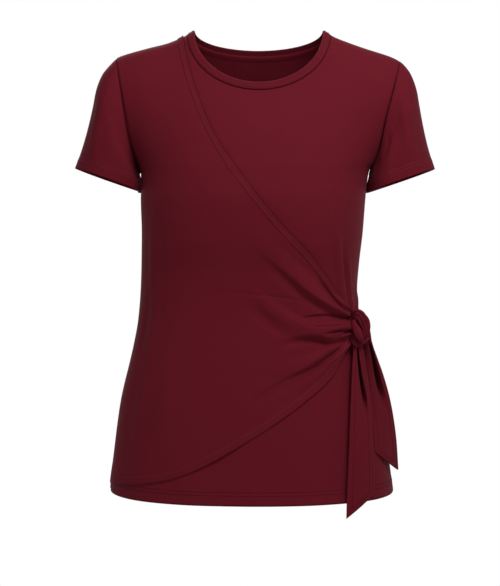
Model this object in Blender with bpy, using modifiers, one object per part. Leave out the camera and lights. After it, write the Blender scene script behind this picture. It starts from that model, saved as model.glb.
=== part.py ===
"""Wrap top with a side tie: a short-sleeved jersey tee, filled out as when it is worn.

Metres, +Z up.  The front of the top faces -Y, and the wearer's left side, where the tie is, is +X.
The origin is where the wearer's shoulders hold the top: midway between the neck ends of the two
shoulder seams, at their height.
"""
import math

import bpy
import bmesh
from mathutils import Matrix, Vector

COLLECTION = "WrapTop"

# ---- driving sizes -------------------------------------------------------------------------
CLOTH = 0.0012              # thickness of one layer of the jersey
SEAM_GAP = 0.0004           # how far each piece stops short of its seam
OVERLAY_LIFT = 0.0036       # outer face of the wrap front above the outer face of the front under it
BAND_LIFT = 0.0049          # outer face of the edge band above the same face
BAND_CLOTH = 0.0010
BAND_WIDTH = 0.010

MID_HEIGHT = -0.115         # the armhole is deepest from front to back here
PIT_HEIGHT = -0.190         # bottom of the armhole
ARMHOLE_DEPTH = 0.047       # half the front-to-back size of the armhole
HEM_FRONT = -0.629          # height of the hem at the centre
HEM_SIDE = -0.615

ROLL_LENGTH = 0.100         # length given to the panel levels above MID_HEIGHT
ROLL_TOP = 0.970            # share of that length at which the wrap front stops under the seam
HALF_ROUND = 0.200          # length given to half of the way round the front

NECK_CENTRE = 0.003
NECK_HALF = 0.0955          # half width of the neck seam
NECK_SIDE = -0.0030         # height of the neck seam on the shoulder line
NECK_FRONT_DROP = 0.0800
NECK_BACK_DROP = 0.0280
BINDING_HALF = 0.0865       # half width of the free edge of the neck binding
BINDING_SIDE = 0.0024
BINDING_FRONT_DROP = 0.0755
BINDING_BACK_DROP = 0.0215
BINDING_CLOTH = 0.0018
BINDING_ROWS = (0.07, 0.50, 1.00)   # shares of its width, from just clear of the seam to the free edge

ROWS_BODY = 12              # rows from the hem up to the bottom of the armhole
ROWS_PIT = 5                # rows from there up to its deepest place
ROWS_TOP = 7                # rows from there up to the shoulder line or the neck seam
NECK_COLUMNS = 12
SHOULDER_COLUMNS = 5        # on each side of the neck
COLUMNS = NECK_COLUMNS + 2 * SHOULDER_COLUMNS
WRAP_ROWS = 25
WRAP_COLUMNS = 18
ARC_STEPS = 48              # steps in which a quarter of the way round is measured
NECK_STEPS = 64             # steps in which half of the neck seam is measured
TAPER_START = -0.360        # above this height the columns draw in towards the shoulders and neck
HEM_CURVE = 2.5             # how flat the hem stays before it rises to the side seams

BURGUNDY = (0.120, 0.012, 0.022, 1.0)
BURGUNDY_DARK = (0.095, 0.009, 0.018, 1.0)

# ---- tables of the form ----------------------------------------------------------------------
# Half widths of the body at the side seams, and at the armhole seams above PIT_HEIGHT.
# height, wearer's right (-X), wearer's left (+X)
SIDES = (
    (-0.640, 0.1990, 0.1870),
    (-0.605, 0.1970, 0.1825),
    (-0.572, 0.1924, 0.1780),
    (-0.529, 0.1870, 0.1715),
    (-0.496, 0.1820, 0.1647),
    (-0.475, 0.1775, 0.1600),
    (-0.449, 0.1710, 0.1545),
    (-0.416, 0.1635, 0.1470),
    (-0.388, 0.1586, 0.1400),
    (-0.348, 0.1552, 0.1355),
    (-0.313, 0.1540, 0.1380),
    (-0.270, 0.1535, 0.1430),
    (-0.226, 0.1548, 0.1465),
    (-0.206, 0.1543, 0.1485),
    (-0.190, 0.1550, 0.1510),
    (-0.176, 0.1600, 0.1580),
    (-0.158, 0.1660, 0.1635),
    (-0.135, 0.1718, 0.1685),
    (-0.115, 0.1755, 0.1730),
    (-0.083, 0.1805, 0.1815),
    (-0.040, 0.1880, 0.1935),
)
# Depth of the front and back from the plane of the side seams, and how square the section is.
# height, front, back, squareness
DEPTHS = (
    (-0.640, 0.122, 0.117, 2.3),
    (-0.530, 0.117, 0.108, 2.4),
    (-0.450, 0.110, 0.092, 2.5),
    (-0.380, 0.105, 0.082, 2.5),
    (-0.330, 0.110, 0.085, 2.5),
    (-0.280, 0.121, 0.090, 2.5),
    (-0.235, 0.124, 0.098, 2.5),
    (-0.190, 0.115, 0.101, 2.5),
    (-0.176, 0.1103, 0.1015, 2.36),
    (-0.158, 0.1035, 0.1020, 2.24),
    (-0.135, 0.0936, 0.1000, 2.15),
    (-0.115, 0.0843, 0.0962, 2.10),
    (-0.083, 0.071, 0.086, 2.0),
    (-0.050, 0.060, 0.076, 2.0),
    (0.000, 0.053, 0.066, 2.0),
    (0.050, 0.050, 0.060, 2.0),
)
# Height of the shoulder line; inside the neck it only guides the curve of the panels.
# distance from the centre, wearer's right, wearer's left
SHOULDER = (
    (0.000, 0.0450, 0.0450),
    (0.050, 0.0230, 0.0250),
    (0.075, 0.0075, 0.0110),
    (NECK_HALF - NECK_CENTRE, NECK_SIDE, 0.0006),
    (NECK_HALF + NECK_CENTRE, -0.0063, NECK_SIDE),
    (0.107, -0.0108, -0.0075),
    (0.121, -0.0162, -0.0130),
    (0.145, -0.0222, -0.0216),
    (0.180, -0.0322, -0.0330),
    (0.194, -0.0375, -0.0395),
)
# Each row is one ring of a sleeve, from the shoulder to the cuff: its outermost point, the
# point under the arm, its half depth from front to back, and how far its middle bows outwards.
# outer x, outer height, inner x, inner height, half depth, bow
RIGHT_SLEEVE = (
    (0.1985, -0.0455, 0.1570, -0.1930, 0.0500, 0.0075),
    (0.2085, -0.0585, 0.1560, -0.1960, 0.0525, 0.0070),
    (0.2160, -0.0775, 0.1545, -0.1995, 0.0550, 0.0055),
    (0.2207, -0.1010, 0.1530, -0.2035, 0.0570, 0.0040),
    (0.2268, -0.1275, 0.1520, -0.2075, 0.0580, 0.0030),
    (0.2350, -0.1565, 0.1515, -0.2120, 0.0575, 0.0015),
    (0.2447, -0.1840, 0.1515, -0.2165, 0.0565, 0.0000),
)
LEFT_SLEEVE = (
    (0.2025, -0.0485, 0.1535, -0.1930, 0.0500, 0.0070),
    (0.2100, -0.0610, 0.1530, -0.1960, 0.0525, 0.0065),
    (0.2160, -0.0785, 0.1520, -0.1995, 0.0550, 0.0050),
    (0.2200, -0.1010, 0.1510, -0.2035, 0.0570, 0.0040),
    (0.2250, -0.1285, 0.1505, -0.2075, 0.0580, 0.0030),
    (0.2318, -0.1575, 0.1500, -0.2120, 0.0575, 0.0015),
    (0.2405, -0.1850, 0.1500, -0.2165, 0.0565, 0.0000),
)
SLEEVE_SQUARE = 2.8           # how square the underarm half of a ring is
SLEEVE_GAP = 0.0009           # between the armhole seam and the first ring of a sleeve
RIGHT_SLEEVE_CLEAR = 0.0054   # least distance from the front and back under the arm
LEFT_SLEEVE_CLEAR = 0.0020

# The free edges of the wrap front, from the wearer's right side to the knot: x, height.
WRAP_TOP_EDGE = (
    (-0.0985, -0.0063), (-0.0930, -0.0340), (-0.0830, -0.0730), (-0.0570, -0.1400),
    (-0.0180, -0.2000), (0.0300, -0.2600), (0.0720, -0.3050), (0.0990, -0.3450), (0.1215, -0.3780),
)
WRAP_LOWER_EDGE = (
    (-0.1960, -0.6060), (-0.1600, -0.6040), (-0.1210, -0.5980), (-0.0790, -0.5830),
    (-0.0230, -0.5520), (0.0320, -0.5170), (0.0870, -0.4730), (0.1070, -0.4460), (0.1205, -0.4130),
)
# Its sewn edge, from the foot of the side seam to the end of the shoulder seam: share of the edge,
# how far it stops short of the seam as a share of the way round the front, and level.
WRAP_SEWN_EDGE = (
    (0.00, 0.003, WRAP_LOWER_EDGE[0][1]),
    (0.41, 0.003, PIT_HEIGHT - 0.028),
    (0.46, 0.010, PIT_HEIGHT - 0.008),
    (0.50, 0.036, PIT_HEIGHT + 0.003),
    (0.62, 0.030, MID_HEIGHT),
    (0.79, 0.018, MID_HEIGHT + ROLL_TOP * ROLL_LENGTH),
)
# The gathers that run into the knot: place between the lower edge (0) and the top edge (1),
# half width, height, and how far from the knot they reach as a share of the panel.
GATHERS = (
    (0.14, 0.060, 0.0045, 0.45),
    (0.38, 0.075, 0.0050, 0.50),
    (0.62, 0.060, 0.0050, 0.62),
    (0.84, 0.055, 0.0050, 0.55),
)

KNOT_CENTRE = (0.1395, -0.0745, -0.3970)
KNOT_CORE = (0.0118, 0.0100, 0.0185)      # half sizes of the knotted bundle
LOOP_WIDTH = 0.012
LOOP_CLOTH = 0.0022
LOOP_GAP = 0.0005
KNOT_TILT = 8.0               # degrees that the knot leans towards the wearer's right at its top
LOOP_STEPS = 28
# The tie from the side seam to the knot: share of the way round the front, half height of the
# strap, and how far it stands off the front under it.
SIDE_TIE = (
    (0.985, 0.0200, 0.0034), (0.930, 0.0180, 0.0040), (0.870, 0.0150, 0.0056),
    (0.800, 0.0115, 0.0085), (0.725, 0.0085, 0.0120),
)
SIDE_TIE_HEIGHT = -0.3960
# The two ends that hang from the knot: height, left x and y, right x and y.
FRONT_TAIL = (
    (-0.4205, 0.1290, -0.0780, 0.1400, -0.0740),
    (-0.4350, 0.1270, -0.0835, 0.1425, -0.0740),
    (-0.4600, 0.1250, -0.0900, 0.1455, -0.0720),
    (-0.5000, 0.1230, -0.0990, 0.1500, -0.0760),
    (-0.5500, 0.1205, -0.1055, 0.1530, -0.0830),
    (-0.5900, 0.1180, -0.1085, 0.1545, -0.0850),
    (-0.6160, 0.1170, -0.1095, 0.1545, -0.0855),
)
FRONT_TAIL_POINT = 0.030      # how far the cut end runs down to its point, on the left
BACK_TAIL = (
    (-0.4205, 0.1430, -0.0700, 0.1520, -0.0660),
    (-0.4350, 0.1465, -0.0685, 0.1590, -0.0580),
    (-0.4600, 0.1515, -0.0640, 0.1690, -0.0480),
    (-0.4900, 0.1550, -0.0660, 0.1780, -0.0400),
    (-0.5280, 0.1580, -0.0680, 0.1860, -0.0330),
    (-0.5620, 0.1595, -0.0700, 0.1895, -0.0300),
)
BACK_TAIL_POINT = 0.026       # how far the cut end runs down to its point, on the right
TAIL_CLOTH = 0.0024           # a tie is two layers of the jersey
TAIL_ROWS = 12
TAIL_COLUMNS = 5
FRONT_TAIL_BULGE = 0.004      # how far the middle of a hanging end bows forward
BACK_TAIL_BULGE = 0.003


# ---- reading the tables -----------------------------------------------------------------------
def smooth_value(rows, place, column):
    """Read a column of a table between its rows with a smooth curve that doesn't overshoot."""
    if place <= rows[0][0]:
        return rows[0][column]
    if place >= rows[-1][0]:
        return rows[-1][column]
    last = len(rows) - 1
    low = max(i for i in range(last) if rows[i][0] <= place)

    def slope(i):
        if i in (0, last):
            near = 1 if i == 0 else last - 1
            return (rows[near][column] - rows[i][column]) / (rows[near][0] - rows[i][0])
        before = (rows[i][column] - rows[i - 1][column]) / (rows[i][0] - rows[i - 1][0])
        after = (rows[i + 1][column] - rows[i][column]) / (rows[i + 1][0] - rows[i][0])
        if before * after <= 0.0:
            return 0.0
        return 2.0 * before * after / (before + after)

    span = rows[low + 1][0] - rows[low][0]
    t = (place - rows[low][0]) / span
    start, end = rows[low][column], rows[low + 1][column]
    return ((2 * t ** 3 - 3 * t ** 2 + 1) * start + (t ** 3 - 2 * t ** 2 + t) * span * slope(low)
            + (3 * t ** 2 - 2 * t ** 3) * end + (t ** 3 - t ** 2) * span * slope(low + 1))


def curve_through(points, share):
    """A point on a smooth curve through hand-set points; share runs from 0 to 1 along them."""
    reach = [0.0]
    for a, b in zip(points, points[1:]):
        reach.append(reach[-1] + math.dist(a, b))
    rows = [(d / reach[-1], *p) for d, p in zip(reach, points)]
    last = len(rows) - 1
    low = max(i for i in range(last) if rows[i][0] <= share or i == 0)
    span = rows[low + 1][0] - rows[low][0]
    t = min(max((share - rows[low][0]) / span, 0.0), 1.0)
    out = []
    for c in range(1, len(rows[0])):
        def slope(i, c=c):
            a, b = rows[max(i - 1, 0)], rows[min(i + 1, last)]
            return (b[c] - a[c]) / (b[0] - a[0])
        out.append((2 * t ** 3 - 3 * t ** 2 + 1) * rows[low][c]
                   + (t ** 3 - 2 * t ** 2 + t) * span * slope(low)
                   + (3 * t ** 2 - 2 * t ** 3) * rows[low + 1][c]
                   + (t ** 3 - t ** 2) * span * slope(low + 1))
    return out


def ease(low, high, value):
    """0 below low, 1 above high, and a smooth step between."""
    t = min(max((value - low) / (high - low), 0.0), 1.0)
    return t * t * (3.0 - 2.0 * t)


# ---- the form of the body ----------------------------------------------------------------------
def side_column(side):
    """The column of SIDES and SHOULDER for one side: -1 is the wearer's right, 1 the left."""
    return 1 if side < 0 else 2


def half_width(side, height):
    return smooth_value(SIDES, height, side_column(side))


def shoulder_height(side, distance):
    return smooth_value(SHOULDER, distance, side_column(side))


def shoulder_point(side):
    """x and height of the outer end of a shoulder seam, measured out from the centre."""
    distance = SIDES[-1][side_column(side)]
    return distance, shoulder_height(side, distance)


def armhole_depth(height):
    """How far the armhole seam stands in front of, or behind, the side seams."""
    if height <= PIT_HEIGHT:
        return 0.0
    if height >= MID_HEIGHT:
        return ARMHOLE_DEPTH
    rise = 1.0 - (height - PIT_HEIGHT) / (MID_HEIGHT - PIT_HEIGHT)
    return ARMHOLE_DEPTH * math.sqrt(1.0 - rise * rise)


def panel_depth(face, x, height):
    """Distance of the front (face -1) or back (face 1) panel from the plane of the side seams."""
    side = -1 if x < 0 else 1
    depth = smooth_value(DEPTHS, height, 1 if face < 0 else 2)
    square = smooth_value(DEPTHS, height, 3)
    seam = half_width(side, height)
    opening = armhole_depth(height)
    full = seam / (1.0 - (opening / depth) ** square) ** (1.0 / square)
    flat = max(0.0, 1.0 - (abs(x) / full) ** square) ** (1.0 / square)
    if height <= MID_HEIGHT:
        return depth * flat
    top = shoulder_height(side, abs(x) / seam * SIDES[-1][side_column(side)])
    rise = min((height - MID_HEIGHT) / (top - MID_HEIGHT), 1.0)
    return depth * flat * math.sqrt(1.0 - rise * rise)


def across_table(face, side, height):
    """x and distance round the panel from the centre, in steps out to the side or armhole seam."""
    seam = half_width(side, height)
    rows = [(0.0, 0.0)]
    before = (0.0, panel_depth(face, 0.0, height))
    for i in range(1, ARC_STEPS + 1):
        x = seam * math.sin(0.5 * math.pi * i / ARC_STEPS)
        here = (x, panel_depth(face, side * x, height))
        rows.append((rows[-1][0] + math.dist(before, here), x))
        before = here
    return rows


def straight_value(rows, place, key, value):
    """Read a table of sorted rows with straight lines between them."""
    for a, b in zip(rows, rows[1:]):
        if place <= b[key]:
            t = (place - a[key]) / max(b[key] - a[key], 1e-9)
            return a[value] + (b[value] - a[value]) * t
    return rows[-1][value]


def across_to_x(face, across, height):
    """x at a share of the way round the panel: -1 and 1 are its two side or armhole seams."""
    side = -1 if across < 0 else 1
    level = min(height, MID_HEIGHT)
    rows = across_table(face, side, level)
    x = straight_value(rows, abs(across) * rows[-1][0], 0, 1)
    return side * x * half_width(side, height) / half_width(side, level)


def x_to_across(face, x, height):
    """The share of the way round the panel at which it has this x."""
    side = -1 if x < 0 else 1
    level = min(height, MID_HEIGHT)
    rows = across_table(face, side, level)
    near = abs(x) * half_width(side, level) / half_width(side, height)
    return side * straight_value(rows, near, 1, 0) / rows[-1][0]


def neck_curve(half, side_height, front_drop, back_drop, angle):
    """A point of a curve round the neck; angle is 0 at the centre front and pi at the back."""
    x = NECK_CENTRE + half * math.sin(angle)
    drop = front_drop if math.cos(angle) > 0 else back_drop
    height = side_height - drop * abs(math.cos(angle))
    face = -1 if math.cos(angle) > 0 else 1
    if abs(math.cos(angle)) < 1e-6:
        return Vector((x, 0.0, side_height))
    return Vector((x, face * panel_depth(face, x, height), height))


def neck_seam(angle):
    return neck_curve(NECK_HALF, NECK_SIDE, NECK_FRONT_DROP, NECK_BACK_DROP, angle)


def neck_angles(face):
    """Angles that share the neck seam of one panel evenly, from the wearer's right to the left."""
    sweep = [(-0.5 + i / NECK_STEPS) * math.pi for i in range(NECK_STEPS + 1)]
    spots = [neck_seam(a if face < 0 else math.pi - a) for a in sweep]
    reach = [(0.0, sweep[0])]
    for i in range(1, NECK_STEPS + 1):
        reach.append((reach[-1][0] + (spots[i] - spots[i - 1]).length, sweep[i]))
    total = reach[-1][0]
    return [straight_value(reach, total * j / NECK_COLUMNS, 0, 1) for j in range(NECK_COLUMNS + 1)]


# ---- the panels ----------------------------------------------------------------------------------
def column_tops(face):
    """x and height where each column of a panel ends, at the shoulder line or the neck seam."""
    tops = []
    angles = neck_angles(face)
    for side in (-1, 1):
        end, _ = shoulder_point(side)
        start = abs(NECK_CENTRE + side * NECK_HALF)
        for i in range(SHOULDER_COLUMNS):
            share = i / SHOULDER_COLUMNS if side < 0 else (i + 1) / SHOULDER_COLUMNS
            x = end + (start - end) * share if side < 0 else start + (end - start) * share
            tops.append((side * x, shoulder_height(side, x)))
        if side < 0:
            for angle in angles:
                spot = neck_seam(angle if face < 0 else math.pi - angle)
                tops.append((spot.x, spot.z))
    return tops


def hem_height(across):
    return HEM_SIDE + (HEM_FRONT - HEM_SIDE) * (1.0 - abs(across) ** HEM_CURVE)


def panel_points(face):
    """The grid of one panel: rows from the hem up, columns from the wearer's right to the left."""
    tops = column_tops(face)
    top_shares = []
    for x, height in tops:
        side = -1 if x < 0 else 1
        top_shares.append(x / half_width(side, height))
    mid_across = []
    for share in top_shares:
        side = -1 if share < 0 else 1
        mid_across.append(x_to_across(face, share * half_width(side, MID_HEIGHT), MID_HEIGHT))
    rows = []
    for r in range(ROWS_BODY + ROWS_PIT):
        row = []
        for c in range(COLUMNS + 1):
            even = -1.0 + 2.0 * c / COLUMNS
            if r <= ROWS_BODY:
                start = hem_height(even)
                height = start + (PIT_HEIGHT - start) * r / ROWS_BODY
            else:
                turn = 0.5 * math.pi * (r - ROWS_BODY) / ROWS_PIT
                height = PIT_HEIGHT + (MID_HEIGHT - PIT_HEIGHT) * (1.0 - math.cos(turn))
            near_top = ease(TAPER_START, MID_HEIGHT, height)
            across = even + (mid_across[c] - even) * near_top
            x = across_to_x(face, across, height)
            row.append(Vector((x, face * panel_depth(face, x, height), height)))
        rows.append(row)
    for r in range(ROWS_TOP + 1):
        row = []
        for c, (x_end, height_end) in enumerate(tops):
            side = -1 if x_end < 0 else 1
            share = top_shares[c]
            limit = shoulder_height(side, abs(share) * SIDES[-1][side_column(side)])
            rise = min((height_end - MID_HEIGHT) / (limit - MID_HEIGHT), 1.0)
            turn = math.asin(rise) * r / ROWS_TOP
            height = MID_HEIGHT + (limit - MID_HEIGHT) * math.sin(turn)
            x = share * half_width(side, height)
            row.append(Vector((x, face * panel_depth(face, x, height), height)))
        rows.append(row)
    return rows


def wrap_left_edge(share):
    """The sewn edge of the wrap front: up the side seam and armhole, then along the shoulder."""
    end, inset, top = WRAP_SEWN_EDGE[-1]
    if share <= end:
        inset = smooth_value(WRAP_SEWN_EDGE, share, 1)
        return -1.0 + inset, smooth_value(WRAP_SEWN_EDGE, share, 2)
    t = (share - end) / (1.0 - end)
    end_across, end_level = edge_in_body(WRAP_TOP_EDGE, 0.0, BAND_WIDTH)
    return (1.0 - t) * (inset - 1.0) + t * end_across, (1.0 - t) * top + t * end_level


def x_to_body(x, height):
    """Front body place of an x and height: share of the way round, and level up the panel."""
    side = -1 if x < 0 else 1
    across = x_to_across(-1, x, height)
    if height <= MID_HEIGHT:
        return across, height
    limit = shoulder_height(side, abs(x) / half_width(side, height) * SIDES[-1][side_column(side)])
    rise = min((height - MID_HEIGHT) / (limit - MID_HEIGHT), 1.0)
    turn = min(math.asin(rise) / (0.5 * math.pi), ROLL_TOP)
    return across, MID_HEIGHT + ROLL_LENGTH * turn


def body_point(across, level):
    """The point of the front at a share of the way round and a level up the panel."""
    side = -1 if across < 0 else 1
    if level <= MID_HEIGHT:
        x = across_to_x(-1, across, level)
        return Vector((x, -panel_depth(-1, x, level), level))
    mid_x = across_to_x(-1, across, MID_HEIGHT)
    share = mid_x / half_width(side, MID_HEIGHT)
    limit = shoulder_height(side, abs(share) * SIDES[-1][side_column(side)])
    turn = 0.5 * math.pi * min((level - MID_HEIGHT) / ROLL_LENGTH, 1.0)
    height = MID_HEIGHT + (limit - MID_HEIGHT) * math.sin(turn)
    x = share * half_width(side, height)
    return Vector((x, -panel_depth(-1, x, height), height))


def edge_in_body(edge, share, inset=0.0):
    """Body place along an edge given in front view, or along a line inset to its lower side."""
    places = [x_to_body(*point) for point in edge]
    places = [(across * HALF_ROUND, level) for across, level in places]
    across, level = curve_through(places, share)
    before = curve_through(places, max(share - 0.01, 0.0))
    after = curve_through(places, min(share + 0.01, 1.0))
    run, rise = after[0] - before[0], after[1] - before[1]
    size = math.hypot(run, rise)
    level = min(level - run / size * inset, MID_HEIGHT + ROLL_TOP * ROLL_LENGTH)
    return (across + rise / size * inset) / HALF_ROUND, level


def gather_height(p, q):
    """How far the gathers lift the wrap front; p is 1 at the knot, q is 1 at the top edge."""
    lift = 0.0
    for place, half, height, reach in GATHERS:
        near = ease(1.0 - reach, 0.97, p)
        off = abs(q - place) / half
        if off < 1.0:
            lift += height * near * (0.5 + 0.5 * math.cos(math.pi * off))
    return lift


def column_share(column):
    """Place of a column of the wrap front, closer together at its two ends."""
    t = column / WRAP_COLUMNS
    return 0.4 * t + 0.6 * (0.5 - 0.5 * math.cos(math.pi * t))


def wrap_points():
    """The grid of the wrap front: rows from its lower edge to its top edge, columns to the knot."""
    knot_low = edge_in_body(WRAP_LOWER_EDGE, 1.0)
    knot_top = edge_in_body(WRAP_TOP_EDGE, 1.0, BAND_WIDTH)
    corners = (wrap_left_edge(0.0), knot_low, wrap_left_edge(1.0), knot_top)
    shares = [column_share(c) for c in range(WRAP_COLUMNS + 1)]
    low_edge = [edge_in_body(WRAP_LOWER_EDGE, p) for p in shares]
    top_edge = [edge_in_body(WRAP_TOP_EDGE, p, BAND_WIDTH) for p in shares]
    rows, lifts = [], []
    for r in range(WRAP_ROWS):
        q = r / (WRAP_ROWS - 1)
        left = wrap_left_edge(q)
        right = [a + (b - a) * q for a, b in zip(knot_low, knot_top)]
        row = []
        for p, low, top in zip(shares, low_edge, top_edge):
            place = []
            for k in range(2):
                blend = (1 - p) * left[k] + p * right[k] + (1 - q) * low[k] + q * top[k]
                blend -= ((1 - p) * (1 - q) * corners[0][k] + p * (1 - q) * corners[1][k]
                          + (1 - p) * q * corners[2][k] + p * q * corners[3][k])
                place.append(blend)
            row.append(body_point(*place))
        rows.append(row)
        lifts.append([gather_height(p, q) for p in shares])
    rows.append([body_point(*edge_in_body(WRAP_TOP_EDGE, p)) for p in shares])
    lifts.append([0.0] * len(shares))
    return rows, lifts


def grid_normals(rows, outward):
    """Unit normals of a grid of points, turned to the side that outward says."""
    normals = []
    for r, row in enumerate(rows):
        line = []
        for c in range(len(row)):
            along = row[min(c + 1, len(row) - 1)] - row[max(c - 1, 0)]
            up = rows[min(r + 1, len(rows) - 1)][c] - rows[max(r - 1, 0)][c]
            normal = along.cross(up).normalized()
            line.append(normal * outward)
        normals.append(line)
    return normals


def moved_out(rows, normals, distance, lifts=None):
    """The same grid moved out along its normals, by a distance and each point's own lift."""
    out = []
    for r, row in enumerate(rows):
        line = []
        for c, spot in enumerate(row):
            extra = lifts[r][c] if lifts else 0.0
            line.append(spot + normals[r][c] * (distance + extra))
        out.append(line)
    return out


# ---- making objects --------------------------------------------------------------------------------
def new_material(name, colour, roughness):
    material = bpy.data.materials.new(name)
    material.use_nodes = True
    shader = material.node_tree.nodes["Principled BSDF"]
    shader.inputs["Base Color"].default_value = colour
    shader.inputs["Roughness"].default_value = roughness
    shader.inputs["Metallic"].default_value = 0.0
    return material


def new_object(name, shape, colour=BURGUNDY, roughness=0.85):
    """Turn a bmesh into an object of the top's collection, with its own material."""
    mesh = bpy.data.meshes.new(name)
    shape.to_mesh(mesh)
    shape.free()
    mesh.shade_smooth()
    piece = bpy.data.objects.new(name, mesh)
    piece.data.materials.append(new_material(name + "_cloth", colour, roughness))
    bpy.data.collections[COLLECTION].objects.link(piece)
    return piece


def thicken(piece, thickness):
    """Give an open surface its wall, on the inner side of the surface."""
    wall = piece.modifiers.new("Cloth", 'SOLIDIFY')
    wall.thickness = thickness
    wall.offset = -1.0
    wall.use_even_offset = False


def grid_shape(rows, closed=False, flip=False):
    """A flat grid laid onto rows of points; closed joins its last column to its first."""
    tall, wide = len(rows) - 1, len(rows[0]) - 1
    shape = bmesh.new()
    bmesh.ops.create_grid(shape, x_segments=wide, y_segments=tall, size=1.0)
    for vert in shape.verts:
        column = round((vert.co.x + 1.0) * 0.5 * wide)
        row = round((vert.co.y + 1.0) * 0.5 * tall)
        vert.co = rows[row][column]
    if closed:
        bmesh.ops.remove_doubles(shape, verts=shape.verts, dist=1e-6)
    if flip:
        bmesh.ops.reverse_faces(shape, faces=shape.faces)
    return shape


# ---- the pieces ------------------------------------------------------------------------------------
def make_panel(name, face, colour):
    """The front under the wrap, or the back: one layer from shoulder and neck seams to the hem."""
    rows = panel_points(face)
    for row in rows:
        for spot in row:
            spot.y += face * SEAM_GAP
    shape = grid_shape(rows, flip=face > 0)
    thicken(new_object(name, shape, colour), CLOTH)


def make_wrap_and_band():
    """The wrap front that crosses to the knot, and the band sewn along its top edge."""
    rows, lifts = wrap_points()
    normals = grid_normals(rows, 1.0)
    wrap = moved_out(rows, normals, OVERLAY_LIFT, lifts)
    thicken(new_object("wrap_front", grid_shape(wrap)), CLOTH)
    band = moved_out(rows[-2:], normals[-2:], BAND_LIFT, [lifts[-2], lifts[-1]])
    thicken(new_object("wrap_edge_band", grid_shape(band)), BAND_CLOTH)


def body_side(side, y, height):
    """How far out the front or back panel stands at a distance from the side seams' plane."""
    depth = smooth_value(DEPTHS, height, 1 if y < 0 else 2)
    square = smooth_value(DEPTHS, height, 3)
    opening = armhole_depth(height)
    full = half_width(side, height) / (1.0 - (opening / depth) ** square) ** (1.0 / square)
    return full * max(0.0, 1.0 - (abs(y) / depth) ** square) ** (1.0 / square)


def sleeve_ring_points(side, ring):
    """One ring of a sleeve, from its outer point round to the side that lies by the body."""
    outer_x, outer_z, inner_x, inner_z, depth, bow = ring
    clear = RIGHT_SLEEVE_CLEAR if side < 0 else LEFT_SLEEVE_CLEAR
    outer = Vector((outer_x, 0.0, outer_z))
    inner = Vector((inner_x, 0.0, inner_z))
    points = []
    for turn in ring_turns():
        up, forward = math.cos(turn), math.sin(turn)
        if up < 0.0:
            up = -abs(up) ** (2.0 / SLEEVE_SQUARE)
            forward = math.copysign(abs(forward) ** (2.0 / SLEEVE_SQUARE), forward)
        spot = (outer + inner) / 2 + (outer - inner) / 2 * up
        spot.x += bow * math.sin(turn) ** 2
        spot.y = -depth * forward
        if abs(spot.y) >= armhole_depth(spot.z):
            spot.x = max(spot.x, body_side(side, spot.y, spot.z) + clear)
        spot.x *= side
        points.append(spot)
    return points


def ring_turns():
    """Angles round a sleeve from its top down the front, under the arm and up the back."""
    front = [0.5 * math.pi * i / ROWS_TOP for i in range(ROWS_TOP)]
    under = [0.5 * math.pi * (1 + i / ROWS_PIT) for i in range(ROWS_PIT + 1)]
    half = front + under
    return half + [2.0 * math.pi - a for a in reversed(half[:-1])]


def armhole_points(side):
    """The armhole seam, on the same turns as the rings of the sleeve."""
    end_x, end_z = shoulder_point(side)
    points = []
    for turn in ring_turns():
        low = math.cos(turn) < -1e-9
        if low:
            height = PIT_HEIGHT + (MID_HEIGHT - PIT_HEIGHT) * (1.0 - abs(math.cos(turn)))
        else:
            height = MID_HEIGHT + (end_z - MID_HEIGHT) * math.cos(turn)
        x = side * half_width(side, height)
        points.append(Vector((x, -ARMHOLE_DEPTH * math.sin(turn), height)))
    return points


def make_sleeve(name, side):
    """A short sleeve: a tube from the armhole seam to the open cuff."""
    start = [spot + Vector((side * SLEEVE_GAP, 0.0, 0.0)) for spot in armhole_points(side)]
    table = RIGHT_SLEEVE if side < 0 else LEFT_SLEEVE
    rows = [start] + [sleeve_ring_points(side, ring) for ring in table]
    shape = grid_shape(rows, closed=True, flip=side < 0)
    thicken(new_object(name, shape), CLOTH)


def make_neck_binding():
    """The binding round the neck, from its seam up to its free edge."""
    turns = neck_angles(-1)[:-1] + [math.pi - a for a in reversed(neck_angles(1))][:-1]
    turns.append(turns[0] + 2.0 * math.pi)
    rows = [[] for _ in BINDING_ROWS]
    for turn in turns:
        seam = neck_seam(turn)
        free = neck_curve(BINDING_HALF, BINDING_SIDE, BINDING_FRONT_DROP, BINDING_BACK_DROP, turn)
        for k, share in enumerate(BINDING_ROWS):
            rows[k].append(seam.lerp(free, share))
    shape = grid_shape(rows, closed=True)
    thicken(new_object("neck_binding", shape, BURGUNDY_DARK), BINDING_CLOTH)


def make_knot():
    """The knotted bundle and the turn of cloth that crosses over it."""
    shape = bmesh.new()
    bmesh.ops.create_uvsphere(shape, u_segments=20, v_segments=14, radius=1.0)
    bmesh.ops.scale(shape, vec=KNOT_CORE, verts=shape.verts)
    tilt = Matrix.Rotation(math.radians(KNOT_TILT), 4, 'Y')
    bmesh.ops.transform(shape, matrix=Matrix.Translation(KNOT_CENTRE) @ tilt, verts=shape.verts)
    new_object("tie_knot", shape, BURGUNDY_DARK)

    deep, tall = KNOT_CORE[1] + LOOP_GAP + LOOP_CLOTH, KNOT_CORE[2] + LOOP_GAP + LOOP_CLOTH
    rows = []
    for x in (-0.5 * LOOP_WIDTH, 0.0, 0.5 * LOOP_WIDTH):
        row = []
        for i in range(LOOP_STEPS + 1):
            turn = 2.0 * math.pi * i / LOOP_STEPS
            row.append(tilt @ Vector((x, -deep * math.cos(turn), tall * math.sin(turn))))
        rows.append([spot + Vector(KNOT_CENTRE) for spot in row])
    thicken(new_object("tie_loop", grid_shape(rows, closed=True, flip=True)), LOOP_CLOTH)


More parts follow.
